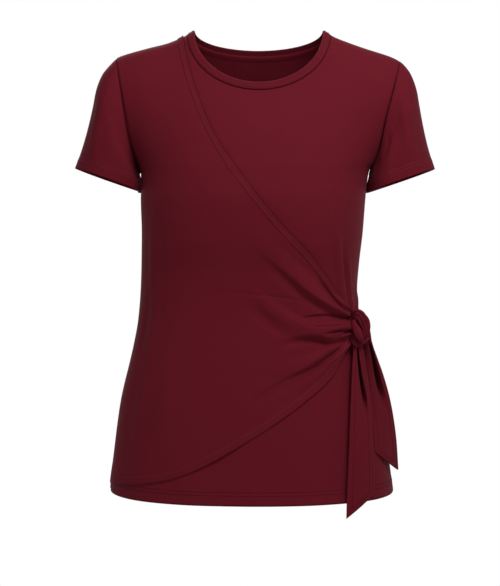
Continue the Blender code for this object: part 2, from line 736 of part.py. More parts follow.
def make_side_tie():
    """The tie that comes from the side seam round to the back of the knot."""
    rows = []
    for share in (-1.0, -0.5, 0.0, 0.5, 1.0):
        rows.append([body_point(across, SIDE_TIE_HEIGHT + half * share)
                     for across, half, _ in reversed(SIDE_TIE)])
    normals = grid_normals(rows, 1.0)
    lifts = [[lift for _, _, lift in reversed(SIDE_TIE)]] * len(rows)
    thicken(new_object("side_tie", grid_shape(moved_out(rows, normals, 0.0, lifts))), CLOTH)


def make_tail(name, table, point, point_side, bulge):
    """A flat tie end that hangs from the knot and is cut to a point at one corner."""
    rows = []
    for r in range(TAIL_ROWS + 1):
        share = r / TAIL_ROWS
        row = []
        for c in range(TAIL_COLUMNS + 1):
            side = c / TAIL_COLUMNS
            cut = side if point_side > 0 else 1.0 - side
            drop = point * cut * share ** 3
            height, left_x, left_y, right_x, right_y = curve_through(table, share)
            x = left_x + (right_x - left_x) * side
            y = left_y + (right_y - left_y) * side - bulge * math.sin(math.pi * side)
            row.append(Vector((x, y, height - drop)))
        rows.append(row)
    rows.reverse()
    thicken(new_object(name, grid_shape(rows)), TAIL_CLOTH)


def main():
    """Clear the scene and build every piece of the top."""
    for piece in list(bpy.data.objects):
        bpy.data.objects.remove(piece)
    collection = bpy.data.collections.new(COLLECTION)
    bpy.context.scene.collection.children.link(collection)
    make_panel("back", 1, BURGUNDY_DARK)
    make_panel("under_front", -1, BURGUNDY)
    make_wrap_and_band()
    make_sleeve("sleeve_right", -1)
    make_sleeve("sleeve_left", 1)
    make_neck_binding()
    make_knot()
    make_side_tie()
    make_tail("tie_tail_front", FRONT_TAIL, FRONT_TAIL_POINT, -1, FRONT_TAIL_BULGE)
    make_tail("tie_tail_back", BACK_TAIL, BACK_TAIL_POINT, 1, BACK_TAIL_BULGE)


main()
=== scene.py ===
"""Looks of the wrap top: a worn burgundy jersey tee whose crossed front is knotted at the waist.

Metres, +Z up.  The front faces -Y, the wearer's left side, where the knot is, is +X, and the
origin is midway between the neck ends of the shoulder seams.  Every sheet of cloth is a fine grid
laid on the same form as the part's solids, with its creases set along paths on the body.
"""

import logging
import math
from dataclasses import dataclass, field
from enum import Enum

import bmesh
import bpy
import numpy as np
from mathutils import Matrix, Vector


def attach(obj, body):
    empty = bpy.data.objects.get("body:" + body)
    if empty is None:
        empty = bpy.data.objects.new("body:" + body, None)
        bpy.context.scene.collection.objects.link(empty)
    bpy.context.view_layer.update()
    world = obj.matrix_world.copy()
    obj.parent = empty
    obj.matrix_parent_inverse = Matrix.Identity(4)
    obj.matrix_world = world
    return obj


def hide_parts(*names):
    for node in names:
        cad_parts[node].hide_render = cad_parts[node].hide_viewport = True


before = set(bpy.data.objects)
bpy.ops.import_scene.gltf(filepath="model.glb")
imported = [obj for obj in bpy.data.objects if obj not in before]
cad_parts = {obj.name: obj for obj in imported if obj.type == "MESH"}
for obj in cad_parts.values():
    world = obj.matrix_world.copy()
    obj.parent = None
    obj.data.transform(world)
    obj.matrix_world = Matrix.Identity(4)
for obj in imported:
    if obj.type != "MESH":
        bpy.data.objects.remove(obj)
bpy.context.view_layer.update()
LOG = logging.getLogger("wrap_top")

# ---- tables of the form ------------------------------------------------------------------------
# Half widths of the body at the side seams, and at the armhole seams above the underarm.
# height, wearer's right (-X), wearer's left (+X)
SIDES = (
    (-0.640, 0.1990, 0.1870), (-0.605, 0.1970, 0.1825), (-0.572, 0.1924, 0.1780),
    (-0.529, 0.1870, 0.1715), (-0.496, 0.1820, 0.1647), (-0.475, 0.1775, 0.1600),
    (-0.449, 0.1710, 0.1545), (-0.416, 0.1635, 0.1470), (-0.388, 0.1586, 0.1400),
    (-0.348, 0.1552, 0.1355), (-0.313, 0.1540, 0.1380), (-0.270, 0.1535, 0.1430),
    (-0.226, 0.1548, 0.1465), (-0.206, 0.1543, 0.1485), (-0.190, 0.1550, 0.1510),
    (-0.176, 0.1600, 0.1580), (-0.158, 0.1660, 0.1635), (-0.135, 0.1718, 0.1685),
    (-0.115, 0.1755, 0.1730), (-0.083, 0.1805, 0.1815), (-0.040, 0.1880, 0.1935),
)
# Depth of the front and back from the plane of the side seams, and how square the section is.
# height, front, back, squareness
DEPTHS = (
    (-0.640, 0.122, 0.117, 2.3), (-0.530, 0.117, 0.108, 2.4), (-0.450, 0.110, 0.092, 2.5),
    (-0.380, 0.105, 0.082, 2.5), (-0.330, 0.110, 0.085, 2.5), (-0.280, 0.121, 0.090, 2.5),
    (-0.235, 0.124, 0.098, 2.5), (-0.190, 0.115, 0.101, 2.5), (-0.176, 0.1103, 0.1015, 2.36),
    (-0.158, 0.1035, 0.1020, 2.24), (-0.135, 0.0936, 0.1000, 2.15), (-0.115, 0.0843, 0.0962, 2.10),
    (-0.083, 0.071, 0.086, 2.0), (-0.050, 0.060, 0.076, 2.0), (0.000, 0.053, 0.066, 2.0),
    (0.050, 0.050, 0.060, 2.0),
)
# Height of the shoulder line; inside the neck it only guides the curve of the panels.
# distance from the centre, wearer's right, wearer's left
SHOULDER = (
    (0.000, 0.0450, 0.0450), (0.050, 0.0230, 0.0250), (0.075, 0.0075, 0.0110),
    (0.0925, -0.0030, 0.0006), (0.0985, -0.0063, -0.0030), (0.107, -0.0108, -0.0075),
    (0.121, -0.0162, -0.0130), (0.145, -0.0222, -0.0216), (0.180, -0.0322, -0.0330),
    (0.194, -0.0375, -0.0395),
)
# Each row is one ring of a sleeve, from the shoulder to the cuff.
# outer x, outer height, inner x, inner height, half depth, bow
RIGHT_SLEEVE = (
    (0.1985, -0.0455, 0.1570, -0.1930, 0.0500, 0.0075), (0.2085, -0.0585, 0.1560, -0.1960, 0.0525, 0.0070),
    (0.2160, -0.0775, 0.1545, -0.1995, 0.0550, 0.0055), (0.2207, -0.1010, 0.1530, -0.2035, 0.0570, 0.0040),
    (0.2268, -0.1275, 0.1520, -0.2075, 0.0580, 0.0030), (0.2350, -0.1565, 0.1515, -0.2120, 0.0575, 0.0015),
    (0.2447, -0.1840, 0.1515, -0.2165, 0.0565, 0.0000),
)
LEFT_SLEEVE = (
    (0.2025, -0.0485, 0.1520, -0.1930, 0.0500, 0.0070), (0.2100, -0.0610, 0.1514, -0.1960, 0.0525, 0.0065),
    (0.2160, -0.0785, 0.1505, -0.1995, 0.0550, 0.0050), (0.2200, -0.1010, 0.1498, -0.2035, 0.0570, 0.0040),
    (0.2250, -0.1285, 0.1493, -0.2075, 0.0580, 0.0030), (0.2318, -0.1575, 0.1488, -0.2120, 0.0575, 0.0015),
    (0.2405, -0.1850, 0.1485, -0.2165, 0.0565, 0.0000),
)
# The free edges of the wrap front, from the wearer's right side to the knot: x, height.
WRAP_TOP_EDGE = (
    (-0.0985, -0.0063), (-0.0930, -0.0340), (-0.0830, -0.0730), (-0.0570, -0.1400),
    (-0.0180, -0.2000), (0.0300, -0.2600), (0.0720, -0.3050), (0.0990, -0.3450), (0.1215, -0.3780),
)
WRAP_LOWER_EDGE = (
    (-0.1960, -0.6060), (-0.1600, -0.6040), (-0.1210, -0.5980), (-0.0790, -0.5830),
    (-0.0230, -0.5520), (0.0320, -0.5170), (0.0870, -0.4730), (0.1070, -0.4460), (0.1205, -0.4130),
)


# ---- sizes that several pieces share -----------------------------------------------------------
# How proud a doubled hem stands, how deep its stitching pinches it, and how far the pinch reaches.
HEM_PROUD, HEM_PINCH, HEM_PINCH_REACH = 0.0003, 0.00035, 0.0016
# Distance between the two needle rows of a hem.
NEEDLE_GAP = 0.0045
# Points this close are one point.
WELD = 1e-6
# Rings of a thread for each stitch, and points round a ring.
THREAD_RINGS, THREAD_SIDES = 4, 5


# ---- reading tables and curves -----------------------------------------------------------------
def read_table(rows: tuple, place: np.ndarray, column: int) -> np.ndarray:
    """Read a column of a table with a smooth curve that doesn't overshoot its rows.

    Args:
        rows: the table; the first column of each row is where the row stands.
        place: where to read it.
        column: which column to read.

    Returns:
        The column's value at each place.
    """
    table = np.asarray(rows, float)
    at, value = table[:, 0], table[:, column]
    step = np.diff(at)
    rate = np.diff(value) / step
    slope = np.zeros(len(at))
    slope[0], slope[-1] = rate[0], rate[-1]
    product = rate[:-1] * rate[1:]
    total = np.where(product > 0.0, rate[:-1] + rate[1:], 1.0)
    slope[1:-1] = np.where(product > 0.0, 2.0 * product / total, 0.0)
    place = np.clip(np.asarray(place, float), at[0], at[-1])
    low = np.clip(np.searchsorted(at, place, side="right") - 1, 0, len(at) - 2)
    t = (place - at[low]) / step[low]
    return hermite(t, value[low], value[low + 1], step[low] * slope[low], step[low] * slope[low + 1])


def hermite(t: np.ndarray, start: np.ndarray, end: np.ndarray, leave: np.ndarray,
            arrive: np.ndarray) -> np.ndarray:
    """A cubic at a share t of the way from start to end, with its slopes as it leaves and arrives."""
    return ((2 * t ** 3 - 3 * t ** 2 + 1) * start + (t ** 3 - 2 * t ** 2 + t) * leave
            + (3 * t ** 2 - 2 * t ** 3) * end + (t ** 3 - t ** 2) * arrive)


def curve_through(points: np.ndarray, share: np.ndarray) -> np.ndarray:
    """Points on a smooth curve through given points.

    Args:
        points: the points, one a row, in any number of dimensions.
        share: places along the curve, from 0 to 1.

    Returns:
        The point at each share.
    """
    points = np.asarray(points, float)
    flat = points.reshape(len(points), -1)
    reach = np.concatenate([[0.0], np.cumsum(np.linalg.norm(np.diff(flat, axis=0), axis=1))])
    reach /= reach[-1]
    slope = np.empty_like(flat)
    slope[1:-1] = (flat[2:] - flat[:-2]) / (reach[2:] - reach[:-2])[:, None]
    slope[0] = (flat[1] - flat[0]) / (reach[1] - reach[0])
    slope[-1] = (flat[-1] - flat[-2]) / (reach[-1] - reach[-2])
    share = np.clip(np.atleast_1d(np.asarray(share, float)), 0.0, 1.0)
    low = np.clip(np.searchsorted(reach, share, side="right") - 1, 0, len(reach) - 2)
    span = reach[low + 1] - reach[low]
    t = ((share - reach[low]) / span)[:, None]
    out = hermite(t, flat[low], flat[low + 1], span[:, None] * slope[low], span[:, None] * slope[low + 1])
    return out.reshape((len(share),) + points.shape[1:])


def ease(low: float, high: float, value: np.ndarray) -> np.ndarray:
    """0 below low, 1 above high, and a smooth step between."""
    t = np.clip((np.asarray(value, float) - low) / (high - low), 0.0, 1.0)
    return t * t * (3.0 - 2.0 * t)


def unit(vectors: np.ndarray) -> np.ndarray:
    """The same vectors, each one metre long."""
    return vectors / np.maximum(np.linalg.norm(vectors, axis=-1, keepdims=True), 1e-12)


def along(points: np.ndarray) -> np.ndarray:
    """Distance from the first point along a row of points."""
    return np.concatenate([[0.0], np.cumsum(np.linalg.norm(np.diff(points, axis=0), axis=1))])


def grid_normals(points: np.ndarray, outward: float = 1.0, closed: bool = False) -> np.ndarray:
    """Unit normals of a grid of points.

    Args:
        points: rows by columns by 3.
        outward: 1 or -1, which side is the outer one.
        closed: whether the last column lies on the first.

    Returns:
        A normal for each point.
    """
    across = np.gradient(points, axis=1)
    if closed:
        join = points[:, 1] - points[:, -2]
        across[:, 0] = join
        across[:, -1] = join
    up = np.gradient(points, axis=0)
    return unit(np.cross(across, up)) * outward


def pick(grid: np.ndarray, row: np.ndarray, column: np.ndarray) -> np.ndarray:
    """Read a grid between its points.

    Args:
        grid: rows by columns, with or without more axes.
        row: places down the grid, counted in rows.
        column: places across it, counted in columns.

    Returns:
        The grid's value at each place.
    """
    row = np.clip(np.asarray(row, float), 0.0, grid.shape[0] - 1.0001)
    column = np.clip(np.asarray(column, float), 0.0, grid.shape[1] - 1.0001)
    r, c = row.astype(int), column.astype(int)
    u, v = row - r, column - c
    if grid.ndim > 2:
        u, v = u[..., None], v[..., None]
    return ((1 - u) * ((1 - v) * grid[r, c] + v * grid[r, c + 1])
            + u * ((1 - v) * grid[r + 1, c] + v * grid[r + 1, c + 1]))


def read_line(points: np.ndarray, normals: np.ndarray, row: np.ndarray,
              column: np.ndarray) -> tuple[np.ndarray, np.ndarray]:
    """Points of a sheet along a line, and their unit normals."""
    return pick(points, row, column), unit(pick(normals, row, column))


def reach_up(points: np.ndarray) -> np.ndarray:
    """Distance from the first row up each column of a grid of points."""
    steps = np.linalg.norm(np.diff(points, axis=0), axis=-1)
    return np.concatenate([np.zeros((1, points.shape[1])), np.cumsum(steps, axis=0)])


def rows_at(reach: np.ndarray, distance: float, columns: np.ndarray) -> np.ndarray:
    """The row, counted between the grid's rows, at which each column has come this far."""
    return np.array([np.interp(distance, reach[:, c], np.arange(len(reach))) for c in columns])


def hem_relief(reach: np.ndarray, depth: float) -> np.ndarray:
    """Lift of a doubled hem by distance from its edge: proud up to its stitching, pinched along it."""
    double = HEM_PROUD * (1.0 - ease(depth - 0.001, depth + 0.003, reach))
    return double - HEM_PINCH * np.exp(-((reach - depth) / HEM_PINCH_REACH) ** 2)


# ---- making meshes and materials ---------------------------------------------------------------
def mesh_of(name: str, shape: bmesh.types.BMesh) -> bpy.types.Mesh:
    """Make a mesh of a finished shape, and let the shape go.

    Args:
        name: the mesh's name.
        shape: the shape, freed afterwards.

    Returns:
        The mesh.
    """
    mesh = bpy.data.meshes.new(name)
    shape.to_mesh(mesh)
    shape.free()
    return mesh


def put_in_scene(name: str, data: bpy.types.ID) -> bpy.types.Object:
    """Put a mesh, lamp or camera in the scene.

    Args:
        name: the object's name.
        data: what it holds.

    Returns:
        The object.
    """
    thing = bpy.data.objects.new(name, data)
    bpy.context.scene.collection.objects.link(thing)
    return thing


def new_material(name: str, roughness: float, specular: float) -> bpy.types.Material:
    """Start a material on the Principled shader.

    Args:
        name: the material's name.
        roughness: the shader's roughness.
        specular: the shader's specular level.

    Returns:
        The material.
    """
    material = bpy.data.materials.new(name)
    material.use_nodes = True
    shader = material.node_tree.nodes["Principled BSDF"]
    shader.inputs["Roughness"].default_value = roughness
    shader.inputs["Specular IOR Level"].default_value = specular
    return material


# ---- finishes ----------------------------------------------------------------------------------
@dataclass(frozen=True)
class JerseyFinish:
    """Fine cotton and viscose jersey: a soft, almost matt knit."""

    name: str
    colour: tuple[float, float, float] = (0.112, 0.0080, 0.0150)
    roughness: float = 0.78
    specular: float = 0.12
    specular_tint: tuple[float, float, float] = (1.0, 0.22, 0.28)
    sheen: float = 0.06
    sheen_roughness: float = 0.45
    sheen_tint: tuple[float, float, float] = (1.0, 0.20, 0.28)
    wale: float = 0.00085
    course: float = 0.00062
    relief: float = 0.00010

    def build(self) -> bpy.types.Material:
        """Make the material.

        Returns:
            The finished material.
        """
        material = new_material(self.name, self.roughness, self.specular)
        nodes, links = material.node_tree.nodes, material.node_tree.links
        shader = nodes["Principled BSDF"]
        shader.inputs["Specular Tint"].default_value = (*self.specular_tint, 1.0)
        shader.inputs["Sheen Weight"].default_value = self.sheen
        shader.inputs["Sheen Roughness"].default_value = self.sheen_roughness
        shader.inputs["Sheen Tint"].default_value = (*self.sheen_tint, 1.0)
        place = nodes.new("ShaderNodeTexCoord")
        cloudy = self._noise(nodes, links, place.outputs["Object"], 14.0, 4.0)
        yarn = self._noise(nodes, links, place.outputs["Object"], 900.0, 2.0)
        shade = self._math(nodes, links, 'MULTIPLY_ADD', cloudy, 0.10, 0.86)
        fleck = self._math(nodes, links, 'MULTIPLY_ADD', yarn, 0.22, 0.0)
        value = self._math(nodes, links, 'ADD', shade, fleck)
        tone = nodes.new("ShaderNodeMix")
        tone.data_type = 'RGBA'
        tone.blend_type = 'MULTIPLY'
        tone.inputs["Factor"].default_value = 1.0
        tone.inputs["A"].default_value = (*self.colour, 1.0)
        grey = nodes.new("ShaderNodeCombineColor")
        for channel in ("Red", "Green", "Blue"):
            links.new(value, grey.inputs[channel])
        links.new(grey.outputs["Color"], tone.inputs["B"])
        links.new(tone.outputs["Result"], shader.inputs["Base Color"])
        bump = nodes.new("ShaderNodeBump")
        bump.inputs["Strength"].default_value = 0.55
        bump.inputs["Distance"].default_value = self.relief
        links.new(self._knit(nodes, links, place.outputs["UV"], yarn), bump.inputs["Height"])
        links.new(bump.outputs["Normal"], shader.inputs["Normal"])
        return material

    def _noise(self, nodes: bpy.types.Nodes, links: bpy.types.NodeLinks, place: bpy.types.NodeSocket,
               scale: float, detail: float) -> bpy.types.NodeSocket:
        """Add a noise texture.

        Args:
            nodes: the material's nodes.
            links: the material's links.
            place: the coordinates it reads.
            scale: how fine it is, for each metre.
            detail: how many finer layers it has.

        Returns:
            Its value.
        """
        noise = nodes.new("ShaderNodeTexNoise")
        noise.inputs["Scale"].default_value = scale
        noise.inputs["Detail"].default_value = detail
        links.new(place, noise.inputs["Vector"])
        return noise.outputs["Fac"]

    def _math(self, nodes: bpy.types.Nodes, links: bpy.types.NodeLinks, operation: str,
              *values: "bpy.types.NodeSocket | float") -> bpy.types.NodeSocket:
        """Add a Math node.

        Args:
            nodes: the material's nodes.
            links: the material's links.
            operation: what it works out.
            values: its inputs, each a socket or a number.

        Returns:
            Its result.
        """
        node = nodes.new("ShaderNodeMath")
        node.operation = operation
        for socket, value in zip(node.inputs, values):
            if isinstance(value, float):
                socket.default_value = value
            else:
                links.new(value, socket)
        return node.outputs[0]

    def _knit(self, nodes: bpy.types.Nodes, links: bpy.types.NodeLinks, place: bpy.types.NodeSocket,
              yarn: bpy.types.NodeSocket) -> bpy.types.NodeSocket:
        """The relief of plain knit: columns of small V-shaped loops.

        Args:
            nodes: the material's nodes.
            links: the material's links.
            place: the cloth's own map, in metres across and along it.
            yarn: unevenness of the yarn.

        Returns:
            The height, from 0 to 1.
        """
        split = nodes.new("ShaderNodeSeparateXYZ")
        links.new(place, split.inputs[0])
        wales = self._math(nodes, links, 'DIVIDE', split.outputs["X"], self.wale)
        slant = self._math(nodes, links, 'PINGPONG', wales, 0.5)
        courses = self._math(nodes, links, 'DIVIDE', split.outputs["Y"], self.course)
        turn = self._math(nodes, links, 'ADD', courses, slant)
        angle = self._math(nodes, links, 'MULTIPLY', turn, 2.0 * math.pi)
        loop = self._math(nodes, links, 'SINE', angle)
        rib = self._math(nodes, links, 'SINE', self._math(nodes, links, 'MULTIPLY', wales, 2.0 * math.pi))
        height = self._math(nodes, links, 'MULTIPLY_ADD', loop, 0.25, 0.5)
        height = self._math(nodes, links, 'MULTIPLY_ADD', rib, 0.15, height)
        return self._math(nodes, links, 'MULTIPLY_ADD', yarn, 0.5, height)


@dataclass(frozen=True)
class PlainFinish:
    """A plain matt surface, for the sewing thread and the studio floor."""

    name: str
    colour: tuple[float, float, float]
    roughness: float = 0.7
    scale: float = 40.0
    unevenness: float = 0.1
    specular: float = 0.5

    def build(self) -> bpy.types.Material:
        """Make the material.

        Returns:
            The finished material.
        """
        material = new_material(self.name, self.roughness, self.specular)
        nodes, links = material.node_tree.nodes, material.node_tree.links
        place = nodes.new("ShaderNodeTexCoord")
        noise = nodes.new("ShaderNodeTexNoise")
        noise.inputs["Scale"].default_value = self.scale
        links.new(place.outputs["Object"], noise.inputs["Vector"])
        ramp = nodes.new("ShaderNodeValToRGB")
        for element, share in zip(ramp.color_ramp.elements, (1.0 - self.unevenness, 1.0)):
            element.color = (*(part * share for part in self.colour), 1.0)
        links.new(noise.outputs["Fac"], ramp.inputs["Fac"])
        links.new(ramp.outputs["Color"], nodes["Principled BSDF"].inputs["Base Color"])
        return material


class Thread(Enum):
    """The two sewing threads: a tonal one, lighter than the cloth, and a dark one whose colour is painted
    shade along seams, stitch lines and the free edge.
    """

    TONAL = "tonal"
    PAINTED_SHADE = "dark"


class Slot(Enum):
    """The record's material slots."""

    JERSEY = "jersey"
    BAND = "edge_band"
    BINDING = "neck_binding"
    TIE = "tie"


# ---- the form of the body ----------------------------------------------------------------------
@dataclass
class BodyForm:
    """The hollow form on which the panels lie."""

    mid_height: float = -0.115
    pit_height: float = -0.190
    armhole: float = 0.047
    hem_front: float = -0.629
    hem_side: float = -0.615
    roll_length: float = 0.150
    half_round: float = 0.200
    neck_centre: float = 0.003
    neck_half: float = 0.0955
    neck_side: float = -0.0030
    neck_front_drop: float = 0.0800
    neck_back_drop: float = 0.0280
    maps: dict = field(default_factory=dict)

    def __post_init__(self) -> None:
        """Work out how x runs with the distance round each quarter of the body."""
        self.levels = np.linspace(-0.66, self.mid_height, 220)
        self.turns = np.linspace(0.0, 0.5 * math.pi, 200)
        for face in (-1, 1):
            for side in (-1, 1):
                self.maps[face, side] = self._arc_map(face, side)

    def _arc_map(self, face: int, side: int) -> tuple[np.ndarray, np.ndarray]:
        """Tables between x and the distance round one quarter.

        Args:
            face: -1 for the front, 1 for the back.
            side: -1 for the wearer's right, 1 for the left.

        Returns:
            Distance share by level and turn, and x share by level and distance share.
        """
        level = self.levels[:, None]
        x = self.half_width(side, level) * np.sin(self.turns)[None, :]
        y = self.depth(face, side * x, level + 0.0 * x)
        step = np.hypot(np.diff(x, axis=1), np.diff(y, axis=1))
        reach = np.concatenate([np.zeros((len(x), 1)), np.cumsum(step, axis=1)], axis=1)
        reach /= reach[:, -1:]
        shares = np.linspace(0.0, 1.0, len(self.turns))
        back = np.array([np.interp(shares, row, np.sin(self.turns)) for row in reach])
        return reach, back

    def _level_row(self, level: np.ndarray) -> np.ndarray:
        """A level's place in the tables, counted in rows."""
        return (level - self.levels[0]) / (self.levels[1] - self.levels[0])

    def half_width(self, side: np.ndarray, height: np.ndarray) -> np.ndarray:
        """Half width at the side or armhole seam of one side."""
        return np.where(np.asarray(side) < 0, read_table(SIDES, height, 1), read_table(SIDES, height, 2))

    def shoulder(self, side: np.ndarray, share: np.ndarray) -> np.ndarray:
        """Height of the shoulder line.

        Args:
            side: negative for the wearer's right.
            share: shares of the way out to its end.

        Returns:
            The height at each share.
        """
        right = read_table(SHOULDER, share * SIDES[-1][1], 1)
        left = read_table(SHOULDER, share * SIDES[-1][2], 2)
        return np.where(np.asarray(side) < 0, right, left)

    def armhole_depth(self, height: np.ndarray) -> np.ndarray:
        """How far the armhole seam stands in front of, or behind, the side seams."""
        rise = 1.0 - (height - self.pit_height) / (self.mid_height - self.pit_height)
        return self.armhole * np.sqrt(1.0 - np.clip(rise, 0.0, 1.0) ** 2)

    def depth(self, face: int, x: np.ndarray, height: np.ndarray) -> np.ndarray:
        """Distance of a panel from the plane of the side seams.

        Args:
            face: -1 for the front, 1 for the back.
            x: places across.
            height: their heights.

        Returns:
            The distance at each place, never negative.
        """
        side = np.where(x < 0, -1, 1)
        depth = read_table(DEPTHS, height, 1 if face < 0 else 2)
        square = read_table(DEPTHS, height, 3)
        seam = self.half_width(side, height)
        full = seam / (1.0 - (self.armhole_depth(height) / depth) ** square) ** (1.0 / square)
        flat = np.maximum(0.0, 1.0 - (np.abs(x) / full) ** square) ** (1.0 / square)
        top = self.shoulder(side, np.abs(x) / seam)
        rise = np.clip((height - self.mid_height) / (top - self.mid_height), 0.0, 1.0)
        return depth * flat * np.sqrt(1.0 - rise ** 2)

    def x_of(self, face: int, across: np.ndarray, height: np.ndarray) -> np.ndarray:
        """x at a share of the way round a panel, where -1 and 1 are its seams.

        Args:
            face: -1 for the front, 1 for the back.
            across: shares of the way round.
            height: their heights.

        Returns:
            x at each place.
        """
        side = np.where(across < 0, -1, 1)
        level = np.minimum(height, self.mid_height)
        row = self._level_row(level)
        column = np.abs(across) * (len(self.turns) - 1)
        right = pick(self.maps[face, -1][1], row, column)
        left = pick(self.maps[face, 1][1], row, column)
        share = np.where(np.abs(across) >= 1.0, 1.0, np.where(side < 0, right, left))
        return side * share * self.half_width(side, height)

    def across_of(self, face: int, x: np.ndarray, height: np.ndarray) -> np.ndarray:
        """The share of the way round a panel at which it has this x.

        Args:
            face: -1 for the front, 1 for the back.
            x: places across.
            height: their heights.

        Returns:
            Shares of the way round, where -1 and 1 are the panel's seams.
        """
        side = np.where(x < 0, -1, 1)
        share = np.clip(np.abs(x) / self.half_width(side, height), 0.0, 1.0)
        row = self._level_row(np.minimum(height, self.mid_height))
        column = np.arcsin(share) / (0.5 * math.pi) * (len(self.turns) - 1)
        right = pick(self.maps[face, -1][0], row, column)
        left = pick(self.maps[face, 1][0], row, column)
        return side * np.where(side < 0, right, left)

    def to_body(self, x: np.ndarray, height: np.ndarray) -> np.ndarray:
        """Places on the front by distance round it and level up it, both in metres.

        Args:
            x: places across, in front view.
            height: their heights.

        Returns:
            One row for each place: distance round the front, and level.
        """
        x, height = np.asarray(x, float), np.asarray(height, float)
        across = self.across_of(-1, x, height)
        side = np.where(x < 0, -1, 1)
        limit = self.shoulder(side, np.abs(x) / self.half_width(side, height))
        rise = np.clip((height - self.mid_height) / (limit - self.mid_height), 0.0, 1.0)
        level = np.where(height <= self.mid_height, height,
                         self.mid_height + self.roll_length * np.arcsin(rise) / (0.5 * math.pi))
        return np.stack([across * self.half_round, level], axis=-1)

    def point(self, face: int, reach: np.ndarray, level: np.ndarray) -> np.ndarray:
        """Points of a panel.

        Args:
            face: -1 for the front, 1 for the back.
            reach: distances round it, on the scale of half_round.
            level: levels up it.

        Returns:
            The points.
        """
        across = reach / self.half_round
        side = np.where(across < 0, -1, 1)
        low = np.minimum(level, self.mid_height)
        share = np.abs(self.x_of(face, across, low)) / self.half_width(side, low)
        limit = self.shoulder(side, share)
        turn = 0.5 * math.pi * np.clip((level - self.mid_height) / self.roll_length, 0.0, 1.0)
        height = np.where(level <= self.mid_height, level,
                          self.mid_height + (limit - self.mid_height) * np.sin(turn))
        return self.on_panel(face, side * share * self.half_width(side, height), height)

    def on_panel(self, face: int, x: np.ndarray, height: np.ndarray) -> np.ndarray:
        """Points of the front (face -1) or the back (1) at places in front view."""
        return np.stack([x, face * self.depth(face, x, height), height], axis=-1)

    def neck(self, angle: np.ndarray, half: float, side_height: float, front: float,
             back: float) -> np.ndarray:
        """Points of a curve round the neck.

        Args:
            angle: 0 at the centre front and pi at the centre back.
            half: half its width.
            side_height: its height on the shoulder line.
            front: how far it drops at the front.
            back: how far it drops at the back.

        Returns:
            The points.
        """
        forward = np.cos(angle)
        x = self.neck_centre + half * np.sin(angle)
        height = side_height - np.where(forward > 0, front, back) * np.abs(forward)
        y = np.where(forward > 0, -self.depth(-1, x, height), self.depth(1, x, height))
        return np.stack([x, y, height], axis=-1)

    def neck_seam(self, angle: np.ndarray) -> np.ndarray:
        """Points of the seam between the panels and the neck binding."""
        return self.neck(angle, self.neck_half, self.neck_side, self.neck_front_drop, self.neck_back_drop)


# ---- creases -----------------------------------------------------------------------------------
@dataclass(frozen=True)
class Fold:
    """One crease: a path, its height (negative for a trough) and how far its two sides reach."""

    path: tuple
    height: float
    upper: float
    lower: float
    grow: float = 0.35
    fade: float = 0.0
    sharp: float = 2.0

    def lift(self, spots: np.ndarray, normals: np.ndarray, line: np.ndarray) -> np.ndarray:
        """How far the crease moves points of the cloth outwards.

        Args:
            spots: the points, one a row.
            normals: their outward normals.
            line: the path as points on the same surface.

        Returns:
            The lift of each point.
        """
        shares = np.linspace(0.0, 1.0, 41)
        fine = curve_through(line, shares)
        best = np.full(len(spots), 1e9)
        off, turn, share = np.zeros_like(spots), np.zeros_like(spots), np.zeros(len(spots))
        for k in range(len(fine) - 1):
            run = fine[k + 1] - fine[k]
            t = np.clip((spots - fine[k]) @ run / (run @ run), 0.0, 1.0)
            gap = spots - (fine[k] + t[:, None] * run)
            far = np.einsum("ij,ij->i", gap, gap)
            near = far < best
            best = np.where(near, far, best)
            off[near] = gap[near]
            turn[near] = run / np.linalg.norm(run)
            share[near] = shares[k] + t[near] * (shares[k + 1] - shares[k])
        above = np.einsum("ij,ij->i", normals, np.cross(turn, off)) > 0
        reach = np.where(above, self.upper, self.lower)
        far = np.clip(np.sqrt(best) / reach, 0.0, 1.0)
        body = (1.0 - far ** self.sharp) ** 2
        swell = ease(0.0, max(self.grow, 1e-3), share)
        if self.fade > 0.0:
            swell = swell * (1.0 - ease(1.0 - self.fade, 1.0, share))
        return self.height * body * swell


def lift_of(folds: tuple, form: BodyForm, spots: np.ndarray, normals: np.ndarray,
            face: int = -1) -> np.ndarray:
    """The summed lift of a set of creases.

    Args:
        folds: the creases, with paths in front view.
        form: the body they lie on.
        spots: a grid of points of the cloth.
        normals: their outward normals.
        face: -1 for creases of the front, 1 for creases of the back.

    Returns:
        The lift of each point of the grid.
    """
    flat, out = spots.reshape(-1, 3), normals.reshape(-1, 3)
    lift = np.zeros(len(flat))
    for fold in folds:
        lift += fold.lift(flat, out, form.on_panel(face, *np.asarray(fold.path).T))
    return lift.reshape(spots.shape[:2])


